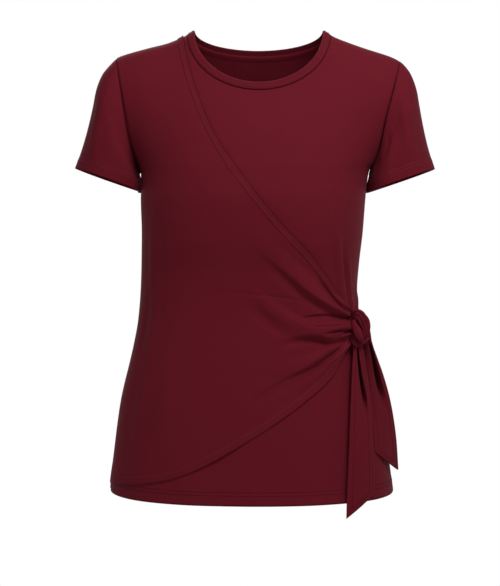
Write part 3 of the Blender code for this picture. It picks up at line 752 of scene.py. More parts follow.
# The gathers of the wrap front; each path runs towards the knot.
GATHERS = (
    # ridge under the edge band, its underside, and the hollow between it and the band
    Fold(((-0.010, -0.276), (0.007, -0.295), (0.023, -0.309), (0.049, -0.331), (0.062, -0.345),
          (0.085, -0.364), (0.104, -0.376), (0.126, -0.388)), 0.0075, 0.020, 0.010, grow=0.8),
    Fold(((0.000, -0.300), (0.012, -0.310), (0.039, -0.337), (0.059, -0.353), (0.078, -0.367),
          (0.100, -0.380), (0.124, -0.391)), -0.0022, 0.008, 0.012, grow=0.45),
    Fold(((0.070, -0.317), (0.083, -0.339), (0.100, -0.364), (0.114, -0.376), (0.125, -0.384)),
         -0.0058, 0.006, 0.007, grow=0.7),
    # fine crease across the middle
    Fold(((-0.057, -0.349), (-0.020, -0.353), (0.016, -0.356), (0.049, -0.361), (0.074, -0.368)),
         -0.0010, 0.006, 0.004, grow=0.5, fade=0.3, sharp=1.0),
    # the fold that tucks under the first ridge
    Fold(((0.046, -0.387), (0.058, -0.385), (0.074, -0.383), (0.091, -0.382), (0.109, -0.385),
          (0.126, -0.391)), -0.0038, 0.004, 0.007, grow=0.4, sharp=1.2),
    # long soft ridge that curves up to the wearer's right, with a fine line along its upper side
    Fold(((-0.030, -0.318), (-0.015, -0.338), (-0.001, -0.355), (0.023, -0.373), (0.042, -0.387),
          (0.062, -0.396), (0.081, -0.401), (0.104, -0.399), (0.126, -0.396)), 0.0056, 0.012, 0.022,
         grow=0.8),
    Fold(((-0.018, -0.348), (-0.009, -0.362), (0.002, -0.377), (0.017, -0.391), (0.034, -0.400),
          (0.052, -0.405)), -0.0022, 0.012, 0.014, grow=0.5, fade=0.4),
    Fold(((0.052, -0.389), (0.064, -0.394), (0.080, -0.397), (0.101, -0.396), (0.126, -0.393)),
         -0.0024, 0.004, 0.0025, grow=0.35, sharp=1.0),
    # short deep creases at the knot
    Fold(((0.080, -0.409), (0.090, -0.406), (0.102, -0.404), (0.114, -0.404), (0.127, -0.400)),
         -0.0058, 0.0035, 0.0045, grow=0.4, sharp=1.3),
    Fold(((0.094, -0.412), (0.104, -0.409), (0.114, -0.405), (0.126, -0.402)), -0.0036, 0.003, 0.004,
         grow=0.5, sharp=1.3),
    # wavy trough
    Fold(((0.022, -0.426), (0.034, -0.421), (0.049, -0.417), (0.062, -0.415), (0.078, -0.416),
          (0.092, -0.420), (0.103, -0.418), (0.116, -0.410)), -0.0066, 0.009, 0.0070, grow=0.5, fade=0.12,
         sharp=1.6),
    # broad ridge under it
    Fold(((0.003, -0.452), (0.023, -0.455), (0.049, -0.453), (0.081, -0.441), (0.104, -0.425),
          (0.124, -0.410)), 0.0058, 0.018, 0.012, grow=0.75),
    Fold(((0.064, -0.449), (0.080, -0.442), (0.097, -0.432), (0.114, -0.417)), -0.0015, 0.003, 0.003,
         grow=0.3, fade=0.2, sharp=1.0),
    # long trough above the lower edge
    Fold(((-0.012, -0.499), (0.006, -0.489), (0.026, -0.479), (0.046, -0.468), (0.068, -0.455),
          (0.088, -0.441), (0.104, -0.428), (0.116, -0.416), (0.125, -0.406)), -0.0066, 0.010, 0.0065,
         grow=0.35, sharp=1.5),
    Fold(((0.030, -0.490), (0.062, -0.470), (0.090, -0.448), (0.110, -0.429), (0.121, -0.412)),
         0.0030, 0.007, 0.012, grow=0.6),
)
# Soft folds of the fronts away from the knot.
DRAPE = (
    Fold(((-0.134, -0.225), (-0.135, -0.308), (-0.138, -0.390), (-0.152, -0.450), (-0.169, -0.515)),
         0.0022, 0.016, 0.014, grow=0.3, fade=0.35),
    Fold(((-0.124, -0.300), (-0.140, -0.376), (-0.151, -0.447), (-0.172, -0.577)),
         -0.0024, 0.013, 0.016, grow=0.35, fade=0.35),
    Fold(((-0.112, -0.420), (-0.118, -0.480), (-0.132, -0.560)), 0.0018, 0.016, 0.018, grow=0.4, fade=0.4),
)
# Folds of the front under the wrap, above the knot.
UPPER_LEFT = (
    Fold(((0.098, -0.225), (0.103, -0.263), (0.1075, -0.300), (0.1115, -0.335), (0.1180, -0.372)),
         0.0026, 0.013, 0.011, grow=0.5),
    Fold(((0.1085, -0.262), (0.1145, -0.305), (0.1185, -0.340), (0.1235, -0.374)),
         -0.0034, 0.007, 0.006, grow=0.5),
    Fold(((0.1190, -0.290), (0.1225, -0.325), (0.1265, -0.365)), 0.0016, 0.006, 0.006, grow=0.5),
    Fold(((0.1312, -0.335), (0.1318, -0.355), (0.1312, -0.378)), -0.0026, 0.003, 0.003, grow=0.5),
    Fold(((0.1350, -0.346), (0.1350, -0.362), (0.1335, -0.380)), 0.0016, 0.004, 0.005, grow=0.4),
)


# Creases of the back, as uneven as the ones of the front.
BACK_FOLDS = (
    Fold(((0.132, -0.392), (0.080, -0.398), (0.020, -0.388), (-0.040, -0.372)),
         -0.0052, 0.014, 0.009, grow=0.15, fade=0.6),
    Fold(((0.134, -0.380), (0.088, -0.372), (0.035, -0.352)), 0.0044, 0.014, 0.012, grow=0.15, fade=0.6),
    Fold(((0.135, -0.412), (0.092, -0.428), (0.040, -0.440)), 0.0042, 0.012, 0.014, grow=0.15, fade=0.6),
    Fold(((-0.140, -0.372), (-0.090, -0.380), (-0.030, -0.400), (0.030, -0.408)),
         -0.0044, 0.014, 0.010, grow=0.25, fade=0.5),
    Fold(((-0.060, -0.345), (0.000, -0.360), (0.070, -0.352)), -0.0036, 0.016, 0.010, grow=0.4, fade=0.4),
    Fold(((-0.118, -0.160), (-0.112, -0.240), (-0.120, -0.330)), -0.0036, 0.014, 0.018, grow=0.3, fade=0.5),
    Fold(((0.120, -0.165), (0.108, -0.250), (0.112, -0.340)), -0.0036, 0.016, 0.014, grow=0.3, fade=0.5),
    Fold(((-0.030, -0.120), (-0.022, -0.220), (-0.030, -0.320)), -0.0020, 0.020, 0.020, grow=0.4, fade=0.4),
    Fold(((-0.100, -0.470), (-0.112, -0.540), (-0.120, -0.600)), 0.0030, 0.020, 0.020, grow=0.4, fade=0.3),
    Fold(((0.070, -0.460), (0.078, -0.540), (0.076, -0.610)), 0.0032, 0.022, 0.018, grow=0.4, fade=0.3),
)


# ---- making pieces -----------------------------------------------------------------------------
class Workshop:
    """Makes the pieces and keeps what each finish and slot needs."""

    def __init__(self) -> None:
        """Build the finishes."""
        self.finishes = {
            Slot.JERSEY: JerseyFinish("jersey_burgundy").build(),
            Slot.BAND: JerseyFinish("jersey_edge_band", relief=0.00012).build(),
            Slot.BINDING: JerseyFinish("jersey_binding", colour=(0.106, 0.0075, 0.0142)).build(),
            Slot.TIE: JerseyFinish("jersey_tie", colour=(0.108, 0.0077, 0.0145)).build(),
        }
        self.threads = {
            Thread.TONAL: PlainFinish("thread_burgundy", (0.200, 0.0300, 0.0480), 0.8, 300.0, 0.25,
                                      0.06).build(),
            # painted shade: this dark thread is laid where seams, stitch lines and the wrap's free edge fall
            # in shadow
            Thread.PAINTED_SHADE: PlainFinish("thread_painted_shade", (0.034, 0.0024, 0.0046), 0.8, 300.0, 0.25,
                                     0.04).build(),
        }
        self.made: list[bpy.types.Object] = []

    def cloth(self, name: str, points: np.ndarray, slot: Slot, wall: float = 0.0, closed: bool = False,
              flip: bool = False) -> bpy.types.Object:
        """Make a sheet of cloth from a grid of points.

        Args:
            name: the piece's name.
            points: rows by columns by 3, the cloth's outer face.
            slot: the material slot it takes its finish from.
            wall: thickness given to it on its inner side, or 0 for none.
            closed: whether the last column lies on the first.
            flip: whether its faces are turned round.

        Returns:
            The piece.
        """
        cloth_map = self.measured_map(points)
        tall, wide = points.shape[0] - 1, points.shape[1] - 1
        shape = bmesh.new()
        bmesh.ops.create_grid(shape, x_segments=wide, y_segments=tall, size=1.0)
        mesh = mesh_of(name, shape)
        flat = np.empty(len(mesh.vertices) * 3, np.float32)
        mesh.vertices.foreach_get("co", flat)
        column = np.rint((flat[0::3] + 1.0) * 0.5 * wide).astype(int)
        row = np.rint((flat[1::3] + 1.0) * 0.5 * tall).astype(int)
        mesh.vertices.foreach_set("co", points[row, column].astype(np.float32).ravel())
        corner = np.empty(len(mesh.loops), np.int32)
        mesh.loops.foreach_get("vertex_index", corner)
        spots = cloth_map[row[corner], column[corner]]
        layer = mesh.uv_layers.new(name="UVMap")
        layer.data.foreach_set("uv", spots.astype(np.float32).ravel())
        shape = bmesh.new()
        shape.from_mesh(mesh)
        if closed:
            bmesh.ops.remove_doubles(shape, verts=shape.verts, dist=WELD)
        if flip:
            bmesh.ops.reverse_faces(shape, faces=shape.faces)
        shape.to_mesh(mesh)
        shape.free()
        piece = self.finished(name, mesh, self.finishes[slot], slot)
        if wall > 0.0:
            solid = piece.modifiers.new("Cloth", 'SOLIDIFY')
            solid.thickness = wall
            solid.offset = -1.0
            solid.use_even_offset = False
        return piece

    def finished(self, name: str, mesh: bpy.types.Mesh, finish: bpy.types.Material,
                 slot: Slot) -> bpy.types.Object:
        """Dress a mesh, put it in the scene, fasten it to the top and report it.

        Args:
            name: the piece's name.
            mesh: its mesh.
            finish: its material.
            slot: its material slot; not used.

        Returns:
            The piece.
        """
        mesh.shade_smooth()
        mesh.materials.append(finish)
        piece = put_in_scene(name, mesh)
        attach(piece, "root")
        self.made.append(piece)
        LOG.info("%s: %d faces", name, len(mesh.polygons))
        return piece

    @staticmethod
    def measured_map(points: np.ndarray) -> np.ndarray:
        """Metres across and along a sheet, measured through its middle row and column.

        Args:
            points: the sheet's grid.

        Returns:
            Rows by columns by 2.
        """
        middle_row = along(points[points.shape[0] // 2])
        middle_column = along(points[:, points.shape[1] // 2])
        across, up = np.meshgrid(middle_row, middle_column)
        return np.stack([across, up], axis=-1)

    def stitches(self, name: str, rows: list, slot: Slot, pitch: float = 0.0030, thread: float = 0.00028,
                 kind: Thread = Thread.TONAL) -> None:
        """Rows of machine stitches along lines on the cloth.

        Args:
            name: the piece's name.
            rows: for each row its points and their outward normals.
            slot: the slot of the cloth they are sewn in.
            pitch: length of one stitch.
            thread: half thickness of the thread.
            kind: which thread it is; the dark one is painted shade.
        """
        whole = bmesh.new()
        for points, normals in rows:
            tube = self.stitch_row(points, normals, pitch, thread)
            tall, wide = tube.shape[0] - 1, tube.shape[1] - 1
            part = bmesh.new()
            bmesh.ops.create_grid(part, x_segments=wide, y_segments=tall, size=1.0)
            for vert in part.verts:
                column = round((vert.co.x + 1.0) * 0.5 * wide)
                row = round((vert.co.y + 1.0) * 0.5 * tall)
                vert.co = tube[row, column]
            bmesh.ops.remove_doubles(part, verts=part.verts, dist=1e-7)
            bmesh.ops.holes_fill(part, edges=[edge for edge in part.edges if edge.is_boundary])
            bmesh.ops.recalc_face_normals(part, faces=part.faces)
            mesh = mesh_of(name, part)
            whole.from_mesh(mesh)
            bpy.data.meshes.remove(mesh)
        self.finished(name, mesh_of(name, whole), self.threads[kind], slot)

    @staticmethod
    def stitch_row(points: np.ndarray, normals: np.ndarray, pitch: float, thread: float) -> np.ndarray:
        """A thread that rises and dips along a line, once for each stitch.

        Args:
            points: the line.
            normals: outward normals along it.
            pitch: length of one stitch.
            thread: half thickness of the thread.

        Returns:
            A closed tube as rings by points round it.
        """
        reach = along(points)
        count = max(2, int(reach[-1] / pitch))
        places = np.linspace(0.0, reach[-1], count * THREAD_RINGS + 1)
        spots = np.stack([np.interp(places, reach, points[:, k]) for k in range(3)], axis=1)
        out = unit(np.stack([np.interp(places, reach, normals[:, k]) for k in range(3)], axis=1))
        ahead = unit(np.gradient(spots, axis=0))
        beside = unit(np.cross(ahead, out))
        bulge = np.sin(math.pi * (np.arange(len(places)) % THREAD_RINGS) / THREAD_RINGS) ** 0.6
        size = thread * (0.35 + 0.65 * bulge)
        spots = spots + out * (thread * (-1.1 + 1.6 * bulge))[:, None]
        turns = np.linspace(0.0, 2.0 * math.pi, THREAD_SIDES + 1)
        ring = (beside[:, None, :] * np.cos(turns)[None, :, None]
                + out[:, None, :] * np.sin(turns)[None, :, None])
        return spots[:, None, :] + ring * size[:, None, None]


# ---- the panels --------------------------------------------------------------------------------
@dataclass
class Panels:
    """The front under the wrap, and the back."""

    form: BodyForm
    shop: Workshop
    cloth: float = 0.0012
    seam_gap: float = 0.00015
    columns_neck: int = 72
    columns_shoulder: int = 36
    rows_body: int = 132
    rows_pit: int = 26
    rows_top: int = 52
    # Height above which the columns turn from even spacing towards the neck and shoulder seams.
    turn_height: float = -0.36
    hem_depth: float = 0.018
    seam_dip: float = 0.0007
    under_wrap: float = 0.0012
    # Waves above the hem: radians for each metre, where they start, and height.
    waves: tuple = ((46.0, 0.8, 0.0011), (83.0, 2.1, 0.0006))
    # Rows of the turned-in seam allowance: how deep each lies, and how far it leans off its panel.
    allowance: tuple = ((0.0006, -0.0001), (0.0022, -0.0001), (0.0060, 0.0))
    top_allowance: tuple = (0.0006, 0.0022, 0.0055)

    def neck_angles(self, face: int) -> np.ndarray:
        """Angles that share one panel's neck seam evenly, from the wearer's right to the left.

        Args:
            face: -1 for the front, 1 for the back.

        Returns:
            The angles, as BodyForm.neck takes them.
        """
        sweep = np.linspace(-0.5 * math.pi, 0.5 * math.pi, 721)
        angles = sweep if face < 0 else math.pi - sweep
        reach = along(self.form.neck_seam(angles))
        return np.interp(np.linspace(0.0, reach[-1], self.columns_neck + 1), reach, angles)

    def tops(self, face: int) -> np.ndarray:
        """Where each column of a panel ends, at the shoulder line or the neck seam.

        Args:
            face: -1 for the front, 1 for the back.

        Returns:
            x and height, one row a column.
        """
        neck = self.form.neck_seam(self.neck_angles(face))[:, (0, 2)]
        parts = []
        for side in (-1, 1):
            end = SIDES[-1][1 if side < 0 else 2]
            start = abs(self.form.neck_centre + side * self.form.neck_half)
            share = np.linspace(0.0, 1.0, self.columns_shoulder + 1)
            x = end + (start - end) * share if side < 0 else start + (end - start) * share
            heights = read_table(SHOULDER, x, 1 if side < 0 else 2)
            parts.append(np.stack([side * x, heights], axis=-1))
        return np.concatenate([parts[0][:-1], neck, parts[1][1:]])

    def grid(self, face: int) -> np.ndarray:
        """Points of one panel.

        Args:
            face: -1 for the front, 1 for the back.

        Returns:
            The points, rows from the hem up, columns from the wearer's right to the left.
        """
        form = self.form
        tops = self.tops(face)
        side = np.where(tops[:, 0] < 0, -1, 1)
        share = tops[:, 0] / form.half_width(side, tops[:, 1])
        mid = form.across_of(face, share * form.half_width(side, form.mid_height),
                             np.full(len(share), form.mid_height))
        even = np.linspace(-1.0, 1.0, len(tops))
        hem = form.hem_side + (form.hem_front - form.hem_side) * (1.0 - np.abs(even) ** 2.5)
        rows = []
        for step in range(self.rows_body):
            rows.append(hem + (form.pit_height - hem) * step / self.rows_body)
        for step in range(self.rows_pit):
            rise = 1.0 - math.cos(0.5 * math.pi * step / self.rows_pit)
            rows.append(np.full(len(even), form.pit_height + (form.mid_height - form.pit_height) * rise))
        heights = np.array(rows)
        across = even + (mid - even) * ease(self.turn_height, form.mid_height, heights)
        low = form.on_panel(face, form.x_of(face, across, heights), heights)
        limit = form.shoulder(side, np.abs(share))
        rise = np.clip((tops[:, 1] - form.mid_height) / (limit - form.mid_height), 0.0, 1.0)
        turn = np.arcsin(rise)[None, :] * np.linspace(0.0, 1.0, self.rows_top + 1)[:, None]
        heights = form.mid_height + (limit - form.mid_height) * np.sin(turn)
        high = form.on_panel(face, share * form.half_width(side, heights), heights)
        return np.concatenate([low, high])

    def with_allowance(self, points: np.ndarray, face: int) -> np.ndarray:
        """Turn the seamed edges of a panel inwards, as the allowance of an overlocked seam.

        Args:
            points: the panel's grid.
            face: -1 for the front, 1 for the back.

        Returns:
            The grid with three more columns at each side and three more rows at the top.
        """
        normals = grid_normals(points, 1.0 if face < 0 else -1.0)
        sides = []
        for edge, first in ((0, True), (-1, False)):
            inward = -normals[:, edge].copy()
            inward[:, 1] = 0.0
            inward = unit(inward)
            strips = [points[:, edge] + inward * deep + np.array([0.0, face * out, 0.0])
                      for deep, out in self.allowance]
            sides.append(np.stack(strips[::-1] if first else strips, axis=1))
        wide = np.concatenate([sides[0], points, sides[1]], axis=1)
        towards = np.tile(np.array([0.0, 0.0, -1.0]), (wide.shape[1], 1))
        first = len(self.allowance) + self.columns_shoulder
        neck = slice(first, first + self.columns_neck + 1)
        angles = self.neck_angles(face)
        free = self.form.neck(angles, NeckBinding.half, NeckBinding.side_height, NeckBinding.front_drop,
                              NeckBinding.back_drop)
        towards[neck] = unit(free - self.form.neck_seam(angles))
        tops = [wide[-1:] + towards * deep for deep in self.top_allowance]
        return np.concatenate([wide] + tops)

    def off_seam(self, points: np.ndarray) -> np.ndarray:
        """0 at the side and armhole seams, which both panels share, and 1 well away from them."""
        return ease(0.001, 0.022, self.from_sides(points))

    @staticmethod
    def from_sides(points: np.ndarray) -> np.ndarray:
        """Distance of each point from the nearer side edge of its row."""
        return np.minimum(np.linalg.norm(points - points[:, :1], axis=-1),
                          np.linalg.norm(points - points[:, -1:], axis=-1))

    def edge_relief(self, points: np.ndarray) -> np.ndarray:
        """Relief of a panel's edges: it dips as it comes to a seam, and its hem is doubled.

        Args:
            points: the panel's grid.

        Returns:
            The lift of each point.
        """
        reach = np.minimum(self.from_sides(points), np.linalg.norm(points - points[-1:], axis=-1))
        dip = -self.seam_dip * (1.0 - ease(0.0, 0.0045, reach))
        return dip + hem_relief(reach_up(points), self.hem_depth)

    def build_front(self) -> None:
        """The front under the wrap, pushed in wherever a trough of the wrap needs room."""
        form = self.form
        points = self.grid(-1)
        normals = grid_normals(points)
        lift = self.edge_relief(points)
        lift += lift_of(UPPER_LEFT, form, points, normals)
        covered = WrapFront(form, self.shop).covers(points)
        lift = lift * (1.0 - covered)
        troughs = np.minimum(lift_of(GATHERS + DRAPE, form, points, normals), 0.0)
        lift += covered * (troughs - self.under_wrap)
        low = (1.0 - covered) * self.lower_wave(points) * self.off_seam(points)
        points = points + normals * (lift + low)[..., None]
        points[..., 1] -= self.seam_gap
        self.front, self.front_normals = points, normals
        piece = self.shop.cloth("under_front_jersey", self.with_allowance(points, -1), Slot.JERSEY,
                                self.cloth)
        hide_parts("under_front")

    def lower_wave(self, points: np.ndarray) -> np.ndarray:
        """Slow waves of the cloth above the hem."""
        wave = sum(high * np.sin(points[..., 0] * rate + start) for rate, start, high in self.waves)
        return wave * (1.0 - ease(-0.60, -0.48, points[..., 2]))

    def build_back(self) -> None:
        """The back, with soft folds at the small of the back and down from the shoulder blades."""
        points = self.grid(1)
        normals = grid_normals(points, -1.0)
        loose = self.lower_wave(points) + lift_of(BACK_FOLDS, self.form, points, normals, 1)
        lift = self.edge_relief(points) + loose * self.off_seam(points)
        points = points + normals * lift[..., None]
        points[..., 1] += self.seam_gap
        self.back, self.back_normals = points, normals
        piece = self.shop.cloth("back_jersey", self.with_allowance(points, 1), Slot.JERSEY, self.cloth,
                                flip=True)
        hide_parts("back")

    def hem_stitches(self) -> None:
        """Two needle rows all round the hem."""
        rows = []
        for points, normals in ((self.front, self.front_normals), (self.back, self.back_normals)):
            reach = reach_up(points)
            columns = np.arange(2, points.shape[1] - 2)
            for height in (self.hem_depth, self.hem_depth - NEEDLE_GAP):
                rows.append(read_line(points, normals, rows_at(reach, height, columns), columns))
        # Real needle rows sewn in the dark thread: their darkness is painted shade along the pinched stitch
        # lines.
        self.shop.stitches("hem_stitches", rows, Slot.JERSEY, thread=0.00026, kind=Thread.PAINTED_SHADE)


@dataclass
class WrapFront:
    """The front that crosses over and is gathered into the knot, with the band along its edge."""

    form: BodyForm
    shop: Workshop
    cloth: float = 0.0012
    lift: float = 0.0020
    seam_lift: float = 0.0006
    least_lift: float = 0.0004
    knot_lift: float = 0.0085
    band_width: float = 0.0100
    band_cloth: float = 0.0010
    rows: int = 190
    columns: int = 200
    band_rows: int = 8
    # Needle rows: shares of the way up the band, and distances from the lower edge.
    band_needles: tuple = (0.30, 0.46)
    lower_needles: tuple = (0.0105, 0.0085)
    # Rows above the lower edge that its needle rows can reach, and places along a needle row.
    lower_rows: int = 40
    stitch_places: int = 700

    def edge(self, path: tuple, share: np.ndarray, inset: float = 0.0) -> np.ndarray:
        """Places along a free edge, or along a line inset to its lower side.

        Args:
            path: the edge in front view.
            share: places along it, from 0 to 1.
            inset: how far inside the edge.

        Returns:
            Distance round the front and level, one row a place.
        """
        fine = curve_through(path, np.linspace(0.0, 1.0, 161))
        knots = self.form.to_body(fine[:, 0], fine[:, 1])
        spots = curve_through(knots, share)
        run = unit(curve_through(knots, np.minimum(share + 0.01, 1.0))
                   - curve_through(knots, np.maximum(share - 0.01, 0.0)))
        return spots + np.stack([run[:, 1], -run[:, 0]], axis=-1) * inset

    def sewn_edge(self, share: np.ndarray) -> np.ndarray:
        """Places up the side seam and the armhole, then along the shoulder seam to the neck.

        Args:
            share: places along them, from 0 to 1.

        Returns:
            Distance round the front and level, one row a place.
        """
        form = self.form
        start = self.edge(WRAP_LOWER_EDGE, np.array([0.0]))[0]
        end = self.edge(WRAP_TOP_EDGE, np.array([0.0]), self.band_width)[0]
        top = form.mid_height + form.roll_length
        corner = -form.half_round
        path = np.array([(corner, start[1]), (corner, -0.300), (corner, form.pit_height),
                         (corner, form.mid_height), (corner, top), (end[0], top)])
        reach = along(path) / along(path)[-1]
        return np.stack([np.interp(share, reach, path[:, k]) for k in range(2)], axis=-1)

    def places(self) -> tuple[np.ndarray, np.ndarray]:
        """Where the wrap front lies on the body.

        Returns:
            Its places as rows by columns by 2, and each column's share of the way to the knot.
        """
        p = np.linspace(0.0, 1.0, self.columns + 1)
        p = 0.55 * p + 0.45 * np.sin(0.5 * math.pi * p)
        q = np.linspace(0.0, 1.0, self.rows + 1)
        low, high = self.edge(WRAP_LOWER_EDGE, p), self.edge(WRAP_TOP_EDGE, p, self.band_width)
        left = self.sewn_edge(q)
        right = low[-1] + (high[-1] - low[-1]) * q[:, None]
        low[0], high[0] = left[0], left[-1]
        # the four edges are blended across the patch, then the band's rows are laid above it
        pc, qc = p[None, :, None], q[:, None, None]
        grid = ((1 - pc) * left[:, None] + pc * right[:, None] + (1 - qc) * low[None] + qc * high[None]
                - (1 - pc) * (1 - qc) * left[0] - pc * (1 - qc) * low[-1]
                - (1 - pc) * qc * left[-1] - pc * qc * high[-1])
        band = [self.edge(WRAP_TOP_EDGE, p, self.band_width * (1.0 - (k + 1) / self.band_rows))
                for k in range(self.band_rows)]
        grid = np.concatenate([grid, np.stack(band)])
        grid[..., 1] = np.minimum(grid[..., 1], self.form.mid_height + self.form.roll_length)
        return grid, p

    def covers(self, points: np.ndarray) -> np.ndarray:
        """How far points of the front lie under the wrap.

        Args:
            points: the points.

        Returns:
            For each point 0 outside the wrap's edges, and 1 well inside them.
        """
        share = np.linspace(0.0, 1.0, 200)
        top, low = curve_through(WRAP_TOP_EDGE, share), curve_through(WRAP_LOWER_EDGE, share)
        x, z = points[..., 0], points[..., 2]
        above = np.interp(x, top[:, 0], top[:, 1], left=1.0, right=-1.0)
        below = np.interp(x, low[:, 0], low[:, 1], left=-1.0, right=1.0)
        return ease(0.004, 0.014, above - z) * ease(0.004, 0.014, z - below)

    def build(self) -> None:
        """Make the wrap front and its band."""
        form = self.form
        places, share = self.places()
        points = form.point(-1, places[..., 0], places[..., 1])
        normals = grid_normals(points)
        seam = np.minimum(places[..., 0] + form.half_round,
                          form.mid_height + form.roll_length - places[..., 1])
        base = self.seam_lift + (self.lift - self.seam_lift) * ease(0.0, 0.040, seam)
        swell = np.sin(math.pi * np.clip(np.linspace(0.0, 1.0, len(points)), 0.06, 0.90))
        base = base + self.knot_lift * ease(0.62, 1.0, share)[None, :] * swell[:, None]
        lift = base + lift_of(GATHERS + DRAPE, form, points, normals)
        lift = lift - 0.0005 * (1.0 - ease(0.0, 0.004, seam))
        self.points = points + normals * np.maximum(lift, self.least_lift)[..., None]
        self.normals = grid_normals(self.points)
        piece = self.shop.cloth("wrap_front_jersey", self.points, Slot.JERSEY, self.cloth)
        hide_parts("wrap_front")
        proud = np.interp(np.arange(self.band_rows + 1), (0.0, 1.0, 3.0, self.band_rows),
                          (-0.0006, 0.0002, 0.0009, 0.0012))
        band = self.points[-self.band_rows - 1:] + self.normals[-self.band_rows - 1:] * proud[:, None, None]
        edge = self.shop.cloth("wrap_edge_band_jersey", band, Slot.BAND, self.band_cloth)
        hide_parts("wrap_edge_band")
        self.band = band

    def edge_stitches(self) -> None:
        """Two rows along the band, two above the lower edge, and a dark thread along the free edge, painted
        shade where the edge's shadow line falls.
        """
        wide = self.points.shape[1]
        every = np.arange(wide)
        columns = np.linspace(3, wide - 4, self.stitch_places)
        band_normals = self.normals[-self.band_rows - 1:]
        rows = [read_line(self.band, band_normals, np.full(len(columns), share * self.band_rows), columns)
                for share in self.band_needles]
        reach = reach_up(self.points)
        for height in self.lower_needles:
            place = np.interp(columns, every, rows_at(reach, height, every))
            rows.append(read_line(self.points, self.normals, np.minimum(place, self.lower_rows), columns))
        self.shop.stitches("wrap_edge_stitches", rows, Slot.BAND)
        # painted shade: a thick dark thread just inside the free edge stands in for the shadow line along the
        # edge
        edge, out = read_line(self.band, band_normals, np.full(len(columns), self.band_rows - 0.05), columns)
        self.shop.stitches("wrap_free_edge_painted_shade", [(edge - out * 0.0004, out)], Slot.BAND, thread=0.00055,
                           kind=Thread.PAINTED_SHADE)


